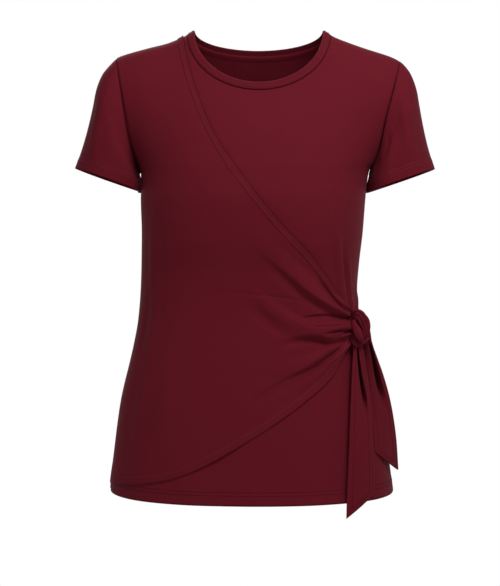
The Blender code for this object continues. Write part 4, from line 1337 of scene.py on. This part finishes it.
@dataclass
class Sleeve:
    """A short set-in sleeve: a tube from the armhole seam to the open cuff."""

    name: str
    side: int
    rings: tuple
    clear: float
    folds: tuple
    form: BodyForm
    shop: Workshop
    cloth: float = 0.0012
    square: float = 2.8
    rows: int = 84
    turns: int = 176
    hem_depth: float = 0.016
    seam_dip: float = 0.0006
    allowance: tuple = (0.0060, 0.0022, 0.0006)

    def body_side(self, y: np.ndarray, height: np.ndarray) -> np.ndarray:
        """How far out the front or back stands at a distance from the side seams' plane.

        Args:
            y: distances from that plane.
            height: their heights.

        Returns:
            The distance out at each place.
        """
        depth = np.where(y < 0, read_table(DEPTHS, height, 1), read_table(DEPTHS, height, 2))
        square = read_table(DEPTHS, height, 3)
        opening = self.form.armhole_depth(height)
        full = self.form.half_width(self.side, height) / (1.0 - (opening / depth) ** square) ** (1.0 / square)
        return full * np.maximum(0.0, 1.0 - (np.abs(y) / depth) ** square) ** (1.0 / square)

    def ring(self, row: tuple, turn: np.ndarray) -> np.ndarray:
        """Points of one ring of the sleeve.

        Args:
            row: its row of the sleeve's table.
            turn: angles from its top down the front, under the arm and up the back.

        Returns:
            The points.
        """
        outer_x, outer_z, inner_x, inner_z, depth, bow = row
        up, forward = np.cos(turn), np.sin(turn)
        low = up < 0.0
        up_low = -np.abs(up) ** (2.0 / self.square)
        forward_low = np.sign(forward) * np.abs(forward) ** (2.0 / self.square)
        up, forward = np.where(low, up_low, up), np.where(low, forward_low, forward)
        x = (outer_x + inner_x) / 2 + (outer_x - inner_x) / 2 * up + bow * np.sin(turn) ** 2
        z = (outer_z + inner_z) / 2 + (outer_z - inner_z) / 2 * up
        return np.stack([x, -depth * forward, z], axis=-1)

    def armhole(self, turn: np.ndarray) -> np.ndarray:
        """Points of the armhole seam.

        Args:
            turn: angles from its top down the front, under the arm and up the back.

        Returns:
            The points.
        """
        form = self.form
        end_z = form.shoulder(self.side, np.array([1.0]))[0]
        low = form.pit_height + (form.mid_height - form.pit_height) * (1.0 - np.abs(np.cos(turn)))
        high = form.mid_height + (end_z - form.mid_height) * np.cos(turn)
        z = np.where(np.cos(turn) < 0.0, low, high)
        x = form.half_width(self.side, z) + 0.0005
        return np.stack([x, -form.armhole * np.sin(turn), z], axis=-1)

    def grid(self) -> np.ndarray:
        """Points of the sleeve.

        Returns:
            The points, rows from the seam to the cuff, columns round it.
        """
        turn = np.linspace(0.0, 2.0 * math.pi, self.turns + 1)
        keys = np.stack([self.armhole(turn)] + [self.ring(row, turn) for row in self.rings])
        reach = np.concatenate([[0.0], np.cumsum([0.6] + [1.0] * (len(self.rings) - 1))])
        place = np.linspace(0.0, reach[-1], self.rows + 1)
        slope = np.gradient(keys, reach, axis=0)
        low = np.clip(np.searchsorted(reach, place, side="right") - 1, 0, len(reach) - 2)
        span = (reach[low + 1] - reach[low])[:, None, None]
        t = ((place - reach[low])[:, None, None]) / span
        points = hermite(t, keys[low], keys[low + 1], span * slope[low], span * slope[low + 1])
        wall = self.body_side(points[..., 1], points[..., 2]) + self.clear
        beside = np.abs(points[..., 1]) >= self.form.armhole_depth(points[..., 2])
        settled = ease(0.0, 0.08, np.linspace(0.0, 1.0, self.rows + 1))[:, None]
        pushed = np.maximum(points[..., 0], wall)
        points[..., 0] += np.where(beside, (pushed - points[..., 0]) * settled, 0.0)
        points[..., 0] *= self.side
        return points

    def build(self) -> None:
        """Make the sleeve and its hem stitches."""
        points = self.grid()
        normals = grid_normals(points, 1.0 if self.side > 0 else -1.0, closed=True)
        flat, out = points.reshape(-1, 3), normals.reshape(-1, 3)
        lift = np.zeros(points.shape[:2])
        for fold in self.folds:
            path = np.asarray(fold.path, float)
            line = pick(points, path[:, 0] * self.rows, path[:, 1] / 360.0 * self.turns)
            lift += fold.lift(flat, out, line).reshape(lift.shape)
        reach = reach_up(points)
        left = reach[-1] - reach
        lift += hem_relief(left, self.hem_depth) - self.seam_dip * (1.0 - ease(0.0, 0.004, reach))
        lift[:, -1] = lift[:, 0]
        points = points + normals * lift[..., None]
        seam_centre = points[0].mean(axis=0)
        inward = unit(seam_centre - points[0])
        whole = np.concatenate([np.stack([points[0] + inward * deep for deep in self.allowance]), points])
        piece = self.shop.cloth(f"sleeve_{self.name}_jersey", whole, Slot.JERSEY, self.cloth, closed=True,
                                flip=self.side < 0)
        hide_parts(f"sleeve_{self.name}")
        columns = np.arange(points.shape[1])
        rows = [read_line(points, normals, rows_at(-left, -height, columns), columns)
                for height in (self.hem_depth, self.hem_depth - NEEDLE_GAP)]
        self.shop.stitches(f"sleeve_{self.name}_stitches", rows, Slot.JERSEY)


@dataclass
class NeckBinding:
    """The folded band that binds the neck."""

    form: BodyForm
    shop: Workshop
    half: float = 0.0865
    side_height: float = 0.0024
    front_drop: float = 0.0755
    back_drop: float = 0.0215
    cloth: float = 0.0026
    crown: float = 0.0005
    ripple: float = 0.00012
    ripples: int = 67
    # Needle rows: shares of the way from the seam to the free edge.
    needles: tuple = (0.26, 0.78)
    pitch: float = 0.0026
    turns: int = 300
    around: int = 18

    def build(self) -> None:
        """Make the binding and its stitches."""
        form = self.form
        angle = np.linspace(0.0, 2.0 * math.pi, self.turns + 1)
        reach = along(form.neck_seam(angle))
        angle = np.interp(np.linspace(0.0, reach[-1], self.turns + 1), reach, angle)
        seam = form.neck_seam(angle)
        free = form.neck(angle, self.half, self.side_height, self.front_drop, self.back_drop)
        seam, free = self.evened(seam), self.evened(free)
        ahead = np.gradient(seam, axis=0)
        ahead[0] = ahead[-1] = seam[1] - seam[-2]
        width = free - seam
        out = unit(np.cross(unit(ahead), width))
        turn = np.linspace(0.0, 2.0 * math.pi, self.around + 1)
        flat = np.sign(np.cos(turn)) * np.abs(np.cos(turn)) ** 0.5
        thick = np.sign(np.sin(turn)) * np.abs(np.sin(turn)) ** 0.7
        share = 0.47 + 0.53 * flat
        crown = self.crown * (1.0 - flat ** 2) - 0.0003
        points = (seam[None] + width[None] * share[:, None, None]
                  + out[None] * (thick * self.cloth / 2 + crown)[:, None, None])
        ripple = self.ripple * np.sin(np.arange(self.turns + 1) * 2.0 * math.pi * self.ripples / self.turns)
        points = points + out[None] * (ripple[None, :, None] * np.maximum(thick, 0.0)[:, None, None])
        piece = self.shop.cloth("neck_binding_jersey", points, Slot.BINDING, closed=True)
        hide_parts("neck_binding")
        rows = [(seam + width * place + out * (self.cloth / 2 + self.crown), out) for place in self.needles]
        self.shop.stitches("neck_binding_stitches", rows, Slot.BINDING, self.pitch, 0.00024)
        # painted shade: a dark thread just below the binding seam stands in for the seam's shadow line
        shade_line = [(seam - width * 0.07 + out * 0.0003, out)]
        self.shop.stitches("neck_seam_painted_shade_stitches", shade_line, Slot.BINDING, self.pitch, 0.00050, Thread.PAINTED_SHADE)

    @staticmethod
    def evened(points: np.ndarray, rounds: int = 12) -> np.ndarray:
        """Smooth a closed line of points a little.

        Args:
            points: the line, whose last point lies on the first.
            rounds: how many times it is smoothed.

        Returns:
            The smoothed line.
        """
        ring = points[:-1].copy()
        for _ in range(rounds):
            ring = 0.5 * ring + 0.25 * (np.roll(ring, 1, axis=0) + np.roll(ring, -1, axis=0))
        return np.concatenate([ring, ring[:1]])


# ---- the knot and the tie ends -----------------------------------------------------------------
@dataclass(frozen=True)
class Strand:
    """A flattened tube of pleated cloth along a given route.

    Each row of route: x, y and height from the knot's centre, half width, half thickness, and the
    direction its flat side faces, in degrees from the front (-Y) towards the wearer's left (+X).
    """

    name: str
    route: tuple
    pleats: int = 3
    pleat_depth: float = 0.0006
    rings: int = 72
    around: int = 48

    def grid(self, centre: tuple) -> np.ndarray:
        """Points of the strand.

        Args:
            centre: the knot's centre.

        Returns:
            Rings by points round the strand, with both ends drawn in to a point.
        """
        share = np.linspace(0.0, 1.0, self.rings + 1)
        row = curve_through(self.route, share)
        line = row[:, :3] + np.asarray(centre)
        half, thick, turn = row[:, 3], row[:, 4], np.radians(row[:, 5])
        ahead = unit(np.gradient(line, axis=0))
        face = np.stack([np.sin(turn), -np.cos(turn), 0.0 * turn], axis=-1)
        face = unit(face - ahead * np.einsum("ij,ij->i", face, ahead)[:, None])
        beside = np.cross(ahead, face)
        close = np.clip(np.minimum(share, 1.0 - share) / 0.06, 0.0, 1.0)
        close = np.sqrt(1.0 - (1.0 - close) ** 2)
        angle = np.linspace(0.0, 2.0 * math.pi, self.around + 1)
        across = np.sign(np.cos(angle)) * np.abs(np.cos(angle)) ** 0.8
        up = np.sin(angle)
        drift = 0.5 * np.sin(share * 3.1 + 0.7)
        pleat = self.pleat_depth * np.cos(math.pi * self.pleats * across[None, :] + 2.0 * drift[:, None])
        rise = up[None, :] * (thick[:, None] + pleat * np.clip(up, 0.0, 1.0)[None, :])
        wide = across[None, :] * half[:, None]
        return (line[:, None] + beside[:, None] * (wide * close[:, None])[..., None]
                + face[:, None] * (rise * close[:, None])[..., None])


# The strands that are seen, the outermost turn first.
KNOT_STRANDS = (
    Strand("knot_loop", (
        (-0.0153, 0.0000, 0.0167, 0.0022, 0.0022, -30.0),
        (-0.0100, -0.0080, 0.0208, 0.0026, 0.0028, -20.0),
        (-0.0036, -0.0108, 0.0200, 0.0030, 0.0032, 0.0),
        (0.0018, -0.0108, 0.0141, 0.0030, 0.0034, 15.0),
        (0.0053, -0.0098, 0.0049, 0.0028, 0.0034, 30.0),
        (0.0066, -0.0088, -0.0050, 0.0027, 0.0032, 35.0),
        (0.0086, -0.0072, -0.0149, 0.0027, 0.0030, 38.0),
        (0.0118, -0.0030, -0.0236, 0.0027, 0.0024, 40.0),
        (0.0148, 0.0030, -0.0310, 0.0022, 0.0016, 40.0),
    ), pleats=2, pleat_depth=0.0007),
    Strand("knot_pleat_outer", (
        (-0.0149, 0.0005, 0.0128, 0.0018, 0.0020, -30.0),
        (-0.0100, -0.0088, 0.0172, 0.0022, 0.0026, -20.0),
        (-0.0052, -0.0122, 0.0160, 0.0024, 0.0028, -5.0),
        (-0.0008, -0.0124, 0.0095, 0.0024, 0.0028, 10.0),
        (0.0020, -0.0112, 0.0009, 0.0022, 0.0028, 20.0),
        (0.0034, -0.0102, -0.0076, 0.0021, 0.0028, 25.0),
        (0.0047, -0.0088, -0.0162, 0.0021, 0.0026, 30.0),
        (0.0074, -0.0048, -0.0255, 0.0018, 0.0020, 30.0),
    ), pleats=1, pleat_depth=0.0004),
    Strand("knot_pleat_inner", (
        (-0.0142, 0.0010, 0.0095, 0.0016, 0.0018, -30.0),
        (-0.0103, -0.0090, 0.0133, 0.0020, 0.0024, -20.0),
        (-0.0067, -0.0132, 0.0116, 0.0021, 0.0026, -5.0),
        (-0.0034, -0.0136, 0.0053, 0.0020, 0.0026, 5.0),
        (-0.0005, -0.0124, -0.0025, 0.0019, 0.0024, 10.0),
        (0.0010, -0.0110, -0.0105, 0.0019, 0.0024, 15.0),
        (0.0014, -0.0088, -0.0185, 0.0017, 0.0020, 20.0),
    ), pleats=1, pleat_depth=0.0003),
    Strand("knot_strap", (
        (-0.0128, -0.0086, 0.0105, 0.0012, 0.0016, -15.0),
        (-0.0112, -0.0150, 0.0038, 0.0034, 0.0026, -12.0),
        (-0.0080, -0.0184, -0.0045, 0.0054, 0.0032, -8.0),
        (-0.0046, -0.0180, -0.0120, 0.0050, 0.0032, -4.0),
        (-0.0020, -0.0148, -0.0180, 0.0028, 0.0026, 0.0),
        (-0.0008, -0.0104, -0.0225, 0.0012, 0.0016, 5.0),
    ), pleats=2, pleat_depth=0.0004),
    Strand("knot_under_fold", (
        (-0.0080, -0.0070, -0.0252, 0.0012, 0.0014, -10.0),
        (-0.0045, -0.0112, -0.0232, 0.0017, 0.0018, -5.0),
        (0.0000, -0.0124, -0.0208, 0.0018, 0.0020, 0.0),
        (0.0042, -0.0116, -0.0174, 0.0019, 0.0020, 15.0),
        (0.0076, -0.0090, -0.0130, 0.0014, 0.0014, 30.0),
    ), pleats=1, pleat_depth=0.0002),
    Strand("knot_left_tuck", (
        (-0.0129, -0.0030, -0.0080, 0.0016, 0.0018, -30.0),
        (-0.0124, -0.0088, -0.0138, 0.0034, 0.0026, -22.0),
        (-0.0110, -0.0108, -0.0192, 0.0038, 0.0028, -14.0),
        (-0.0084, -0.0100, -0.0238, 0.0026, 0.0022, -8.0),
        (-0.0060, -0.0070, -0.0266, 0.0010, 0.0012, -5.0),
    ), pleats=2, pleat_depth=0.0004),
)


@dataclass
class Knot:
    """The knot at the waist: pleats that turn over a bundle, with one strap crossing them."""

    shop: Workshop
    centre: tuple = (0.1395, -0.0745, -0.3970)
    core: tuple = (0.0100, 0.0090, 0.0178)
    ridge: float = 0.07
    ridges: int = 7

    def build(self) -> list[bpy.types.Object]:
        """Make the strands and the bundle under them.

        Returns:
            The pieces of the knot.
        """
        strands = [self._strand(strand) for strand in KNOT_STRANDS]
        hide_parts("tie_loop")
        body = self._bundle()
        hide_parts("tie_knot")
        return [*strands, body]

    def _strand(self, strand: Strand) -> bpy.types.Object:
        """Make one strand as a closed tube of cloth.

        Args:
            strand: its route and pleats.

        Returns:
            The piece.
        """
        piece = self.shop.cloth(strand.name, strand.grid(self.centre), Slot.TIE, closed=True)
        shape = bmesh.new()
        shape.from_mesh(piece.data)
        bmesh.ops.remove_doubles(shape, verts=shape.verts, dist=WELD)
        bmesh.ops.recalc_face_normals(shape, faces=shape.faces)
        shape.to_mesh(piece.data)
        shape.free()
        return piece

    def _bundle(self) -> bpy.types.Object:
        """The tight bundle of cloth that the strands go round.

        Returns:
            The piece.
        """
        shape = bmesh.new()
        bmesh.ops.create_uvsphere(shape, u_segments=40, v_segments=28, radius=1.0)
        for vert in shape.verts:
            turn = math.atan2(vert.co.y, vert.co.x)
            ridge = 1.0 + self.ridge * math.sin(self.ridges * turn + 3.0 * vert.co.z)
            vert.co = Vector((vert.co.x * ridge * self.core[0], vert.co.y * ridge * self.core[1],
                              vert.co.z * self.core[2])) + Vector(self.centre)
        return self.shop.finished("knot_bundle", mesh_of("knot_bundle", shape),
                                  self.shop.finishes[Slot.TIE], Slot.TIE)


@dataclass
class TieEnds:
    """The tie that comes round from the side seam, and the two ends that hang from the knot."""

    form: BodyForm
    shop: Workshop
    cloth: float = 0.0022
    side_cloth: float = 0.0012
    side_height: float = -0.3960
    needle_inset: float = 0.0065
    # How far each end runs down to its point, how far its middle bellies out, and its pressed fold:
    # depth at the top, and reach as a share of the width.
    front_point: float = 0.030
    front_belly: float = 0.0040
    front_groove: tuple = (0.0180, 0.17)
    back_point: float = 0.026
    back_belly: float = 0.0030
    back_groove: tuple = (0.0200, 0.20)
    rows: int = 110
    columns: int = 60
    # Folds pressed in the ends: share of the way down, share of the way across.
    front_fold = ((0.0, 0.40), (0.12, 0.43), (0.21, 0.49), (0.28, 0.55), (0.38, 0.64), (0.56, 0.70))
    back_fold = ((0.0, 0.80), (0.14, 0.72), (0.28, 0.63), (0.42, 0.57), (0.70, 0.52))
    # share of the way round, half height, lift off the front
    side_table = (
        (0.995, 0.0205, 0.0016), (0.930, 0.0180, 0.0028), (0.870, 0.0150, 0.0048),
        (0.800, 0.0115, 0.0080), (0.725, 0.0085, 0.0115),
    )
    # height, left x and y, right x and y
    front_table = (
        (-0.4160, 0.1270, -0.0790, 0.1390, -0.0800), (-0.4350, 0.1262, -0.0850, 0.1420, -0.0790),
        (-0.4600, 0.1250, -0.0915, 0.1455, -0.0760), (-0.5000, 0.1230, -0.0990, 0.1500, -0.0780),
        (-0.5500, 0.1205, -0.1055, 0.1530, -0.0840), (-0.5900, 0.1180, -0.1085, 0.1545, -0.0855),
        (-0.6160, 0.1170, -0.1095, 0.1545, -0.0860),
    )
    back_table = (
        (-0.4080, 0.1365, -0.0680, 0.1490, -0.0710), (-0.4180, 0.1372, -0.0655, 0.1522, -0.0685),
        (-0.4350, 0.1392, -0.0640, 0.1588, -0.0605), (-0.4600, 0.1425, -0.0620, 0.1685, -0.0500),
        (-0.4900, 0.1475, -0.0630, 0.1780, -0.0420), (-0.5280, 0.1530, -0.0665, 0.1860, -0.0350),
        (-0.5620, 0.1570, -0.0690, 0.1895, -0.0320),
    )

    def tail(self, table: tuple, point: float, point_side: int) -> np.ndarray:
        """A flat tie end, cut to a point at one corner.

        Args:
            table: its two edges at given heights.
            point: how far the cut end runs down to its point.
            point_side: -1 for a point on the left, 1 for the right.

        Returns:
            Its grid, rows from the knot down, columns from left to right.
        """
        share = np.linspace(0.0, 1.0, self.rows + 1)
        row = curve_through(table, share)
        side = np.linspace(0.0, 1.0, self.columns + 1)[None, :]
        cut = side if point_side > 0 else 1.0 - side
        x = row[:, 1:2] + (row[:, 3:4] - row[:, 1:2]) * side
        y = row[:, 2:3] + (row[:, 4:5] - row[:, 2:3]) * side
        z = row[:, 0:1] - point * cut * share[:, None] ** 3
        return np.stack([x, y, z], axis=-1)

    @staticmethod
    def groove(points: np.ndarray, path: tuple, depth: float, reach: float) -> None:
        """Press a fold into a tie end.

        Args:
            points: the tie end's grid, changed in place.
            path: places of the fold: share of the way down, share of the way across.
            depth: its depth at the top.
            reach: how far its sides reach across, as a share of the width.
        """
        tall, wide = points.shape[:2]
        down = np.linspace(0.0, 1.0, tall)[:, None]
        side = np.linspace(0.0, 1.0, wide)[None, :]
        line = np.array(path)
        middle = np.interp(down, line[:, 0], line[:, 1])
        fade = 1.0 - ease(0.5 * line[-1, 0], line[-1, 0], down)
        # its left side is steep, its right side eases out, and both widen on the way down
        spread = np.where(side < middle, 0.60, 1.15) * reach * (0.55 + down / line[-1, 0])
        off = np.clip(np.abs(side - middle) / spread, 0.0, 1.0)
        points[..., 1] += depth * fade * (1.0 - off ** 1.6) ** 2

    def _finish_tail(self, name: str, node: str, points: np.ndarray) -> None:
        """Make one tie end from its grid, with its stitches.

        Args:
            name: the piece's name.
            node: the node it replaces.
            points: its grid, rows from the knot down.
        """
        points = points[::-1]
        normals = grid_normals(points)
        wide, tall = points.shape[1] - 1, points.shape[0] - 1
        width = np.linalg.norm(points[:, 0] - points[:, -1], axis=-1).mean()
        inset = self.needle_inset / width * wide
        rows = np.linspace(3, tall - 8, 400)
        lines = [read_line(points, normals, rows, np.full(len(rows), column))
                 for column in (inset, wide - inset)]
        columns = np.linspace(inset, wide - inset, 120)
        lines += [read_line(points, normals, np.full(len(columns), row), columns) for row in (2.6, 4.0)]
        piece = self.shop.cloth(name, points, Slot.TIE, self.cloth)
        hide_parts(node)
        # Real needle rows sewn in the dark thread: their darkness is painted shade along the stitch lines.
        self.shop.stitches(name + "_stitches", lines, Slot.TIE, 0.0028, 0.00024, Thread.PAINTED_SHADE)

    def build(self, knot: list) -> None:
        """Make the two hanging ends and the tie at the side.

        Args:
            knot: the pieces of the knot, which is tied from the front end's cloth; not used.
        """
        front = self.tail(self.front_table, self.front_point, -1)
        side = np.linspace(0.0, 1.0, self.columns + 1)[None, :]
        down = np.linspace(0.0, 1.0, self.rows + 1)[:, None]
        front[..., 1] -= self.front_belly * np.sin(math.pi * side) * (0.4 + 0.6 * down)
        self.groove(front, self.front_fold, *self.front_groove)
        front[..., 1] += 0.0012 * np.sin(6.0 * side + 2.0 * down) * down
        self._finish_tail("tie_end_front", "tie_tail_front", front)
        back = self.tail(self.back_table, self.back_point, 1)
        back[..., 1] -= self.back_belly * np.sin(math.pi * side)
        self.groove(back, self.back_fold, *self.back_groove)
        self._finish_tail("tie_end_back", "tie_tail_back", back)
        self._side_tie()

    def _side_tie(self) -> None:
        """The tie from the side seam round to the back of the knot."""
        share = np.linspace(0.0, 1.0, 61)
        row = curve_through(self.side_table, share)[::-1]
        up = np.linspace(-1.0, 1.0, 33)[:, None]
        reach = row[:, 0][None, :] * self.form.half_round + 0.0 * up
        level = self.side_height + up * row[:, 1][None, :]
        points = self.form.point(-1, reach, level)
        normals = grid_normals(points)
        pleats = 0.0012 * np.cos(math.pi * 3.0 * up) * ease(0.3, 1.0, 1.0 - share)[None, :]
        points = points + normals * (row[:, 2][None, :] + pleats)[..., None]
        piece = self.shop.cloth("side_tie_jersey", points, Slot.TIE, self.side_cloth)
        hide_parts("side_tie")


# ---- the studio --------------------------------------------------------------------------------
@dataclass
class Studio:
    """Camera, lights, floor and the white surroundings."""

    centre: tuple = (0.0, 0.0, -0.33)
    camera_place: tuple = (-0.0088, -3.0, -0.352)
    lens: float = 136.5
    floor_height: float = -1.4
    floor_radius: float = 4.6

    def build(self) -> None:
        """Set everything up."""
        bpy.context.scene.view_settings.view_transform = 'Standard'
        self._camera()
        self._world()
        self._lamp("key", (0.60, -1.20, 1.05), 0.8, 25.0)
        self._lamp("fill", (-1.4, -1.9, 0.4), 1.4, 3.6)
        self._lamp("top", (0.2, 0.0, 1.6), 1.2, 6.0)
        self._lamp("back", (-0.3, 1.9, 1.0), 1.4, 30.0)
        self._floor()

    def _camera(self) -> None:
        """The camera, level with the waist and straight in front."""
        data = bpy.data.cameras.new("camera")
        data.lens = self.lens
        data.sensor_width = 36.0
        camera = put_in_scene("camera", data)
        camera.location = self.camera_place
        camera.rotation_euler = (0.5 * math.pi, 0.0, 0.0)
        bpy.context.scene.camera = camera

    def _lamp(self, name: str, place: tuple, size: float, power: float) -> None:
        """A square soft lamp aimed at the top.

        Args:
            name: its name.
            place: where it stands.
            size: the side of the square.
            power: its power in watts.
        """
        data = bpy.data.lights.new(name, 'AREA')
        data.size = size
        data.energy = power
        lamp = put_in_scene(name, data)
        lamp.location = place
        lamp.rotation_euler = (Vector(self.centre) - Vector(place)).to_track_quat('-Z', 'Y').to_euler()

    def _world(self) -> None:
        """White round the horizon and dimmer above and below it."""
        world = bpy.data.worlds.new("studio")
        world.use_nodes = True
        bpy.context.scene.world = world
        nodes, links = world.node_tree.nodes, world.node_tree.links
        place = nodes.new("ShaderNodeTexCoord")
        split = nodes.new("ShaderNodeSeparateXYZ")
        links.new(place.outputs["Generated"], split.inputs[0])
        ramp = nodes.new("ShaderNodeValToRGB")
        steps = ((0.0, 0.02), (0.405, 0.05), (0.433, 1.0), (0.567, 1.0), (0.60, 0.12), (1.0, 0.12))
        while len(ramp.color_ramp.elements) < len(steps):
            ramp.color_ramp.elements.new(0.5)
        for element, (place_on, value) in zip(ramp.color_ramp.elements, steps):
            element.position = place_on
            element.color = (value, value, value, 1.0)
        half = nodes.new("ShaderNodeMath")
        half.operation = 'MULTIPLY_ADD'
        half.inputs[1].default_value = 0.5
        half.inputs[2].default_value = 0.5
        links.new(split.outputs["Z"], half.inputs[0])
        links.new(half.outputs[0], ramp.inputs["Fac"])
        links.new(ramp.outputs["Color"], nodes["Background"].inputs["Color"])
        nodes["Background"].inputs["Strength"].default_value = 1.0

    def _floor(self) -> None:
        """A plain pale floor."""
        shape = bmesh.new()
        bmesh.ops.create_circle(shape, cap_ends=True, segments=96, radius=self.floor_radius)
        bmesh.ops.translate(shape, vec=(0.0, 0.0, self.floor_height), verts=shape.verts)
        mesh = mesh_of("floor", shape)
        mesh.materials.append(PlainFinish("floor_pale", (0.78, 0.78, 0.77), 0.8, 3.0, 0.03).build())
        put_in_scene("floor", mesh)


# Creases of the sleeves: share of the way to the cuff, and degrees from the top down the front.
RIGHT_SLEEVE_FOLDS = (
    Fold(((0.10, 128), (0.35, 138), (0.70, 146)), -0.0014, 0.006, 0.007, grow=0.25, fade=0.3, sharp=1.4),
    Fold(((0.05, 70), (0.40, 78), (0.95, 84)), -0.0018, 0.014, 0.016, grow=0.3, fade=0.3),
    Fold(((0.10, 45), (0.50, 50), (0.95, 54)), 0.0018, 0.014, 0.016, grow=0.3, fade=0.3),
    Fold(((0.20, 104), (0.60, 112), (1.00, 118)), 0.0016, 0.012, 0.012, grow=0.3, fade=0.2),
    Fold(((0.10, 232), (0.40, 224), (0.75, 216)), -0.0036, 0.009, 0.007, grow=0.25, fade=0.3, sharp=1.5),
    Fold(((0.10, 285), (0.50, 280), (0.95, 276)), -0.0016, 0.016, 0.014, grow=0.3, fade=0.3),
)
LEFT_SLEEVE_FOLDS = (
    Fold(((0.08, 126), (0.30, 136), (0.55, 144)), -0.0012, 0.006, 0.007, grow=0.25, fade=0.4, sharp=1.4),
    Fold(((0.06, 100), (0.25, 108), (0.45, 118)), -0.0012, 0.006, 0.007, grow=0.25, fade=0.4, sharp=1.4),
    Fold(((0.05, 60), (0.40, 66), (0.95, 70)), 0.0018, 0.014, 0.014, grow=0.3, fade=0.3),
    Fold(((0.15, 84), (0.50, 90), (1.00, 96)), -0.0016, 0.012, 0.012, grow=0.3, fade=0.2),
    Fold(((0.10, 236), (0.40, 226), (0.70, 218)), -0.0036, 0.009, 0.007, grow=0.25, fade=0.3, sharp=1.5),
    Fold(((0.10, 290), (0.50, 284), (0.95, 280)), -0.0016, 0.016, 0.014, grow=0.3, fade=0.3),
)


def main() -> None:
    """Build the studio and every piece of the top, in order."""
    logging.basicConfig(level=logging.INFO, format="%(message)s")
    Studio().build()
    shop = Workshop()
    form = BodyForm()
    panels = Panels(form, shop)
    panels.build_back()
    panels.build_front()
    panels.hem_stitches()
    wrap = WrapFront(form, shop)
    wrap.build()
    wrap.edge_stitches()
    Sleeve("right", -1, RIGHT_SLEEVE, 0.0044, RIGHT_SLEEVE_FOLDS, form, shop).build()
    Sleeve("left", 1, LEFT_SLEEVE, 0.0011, LEFT_SLEEVE_FOLDS, form, shop).build()
    NeckBinding(form, shop).build()
    TieEnds(form, shop).build(Knot(shop).build())
    LOG.info("%d pieces", len(shop.made))


if __name__ == "__main__":
    main()
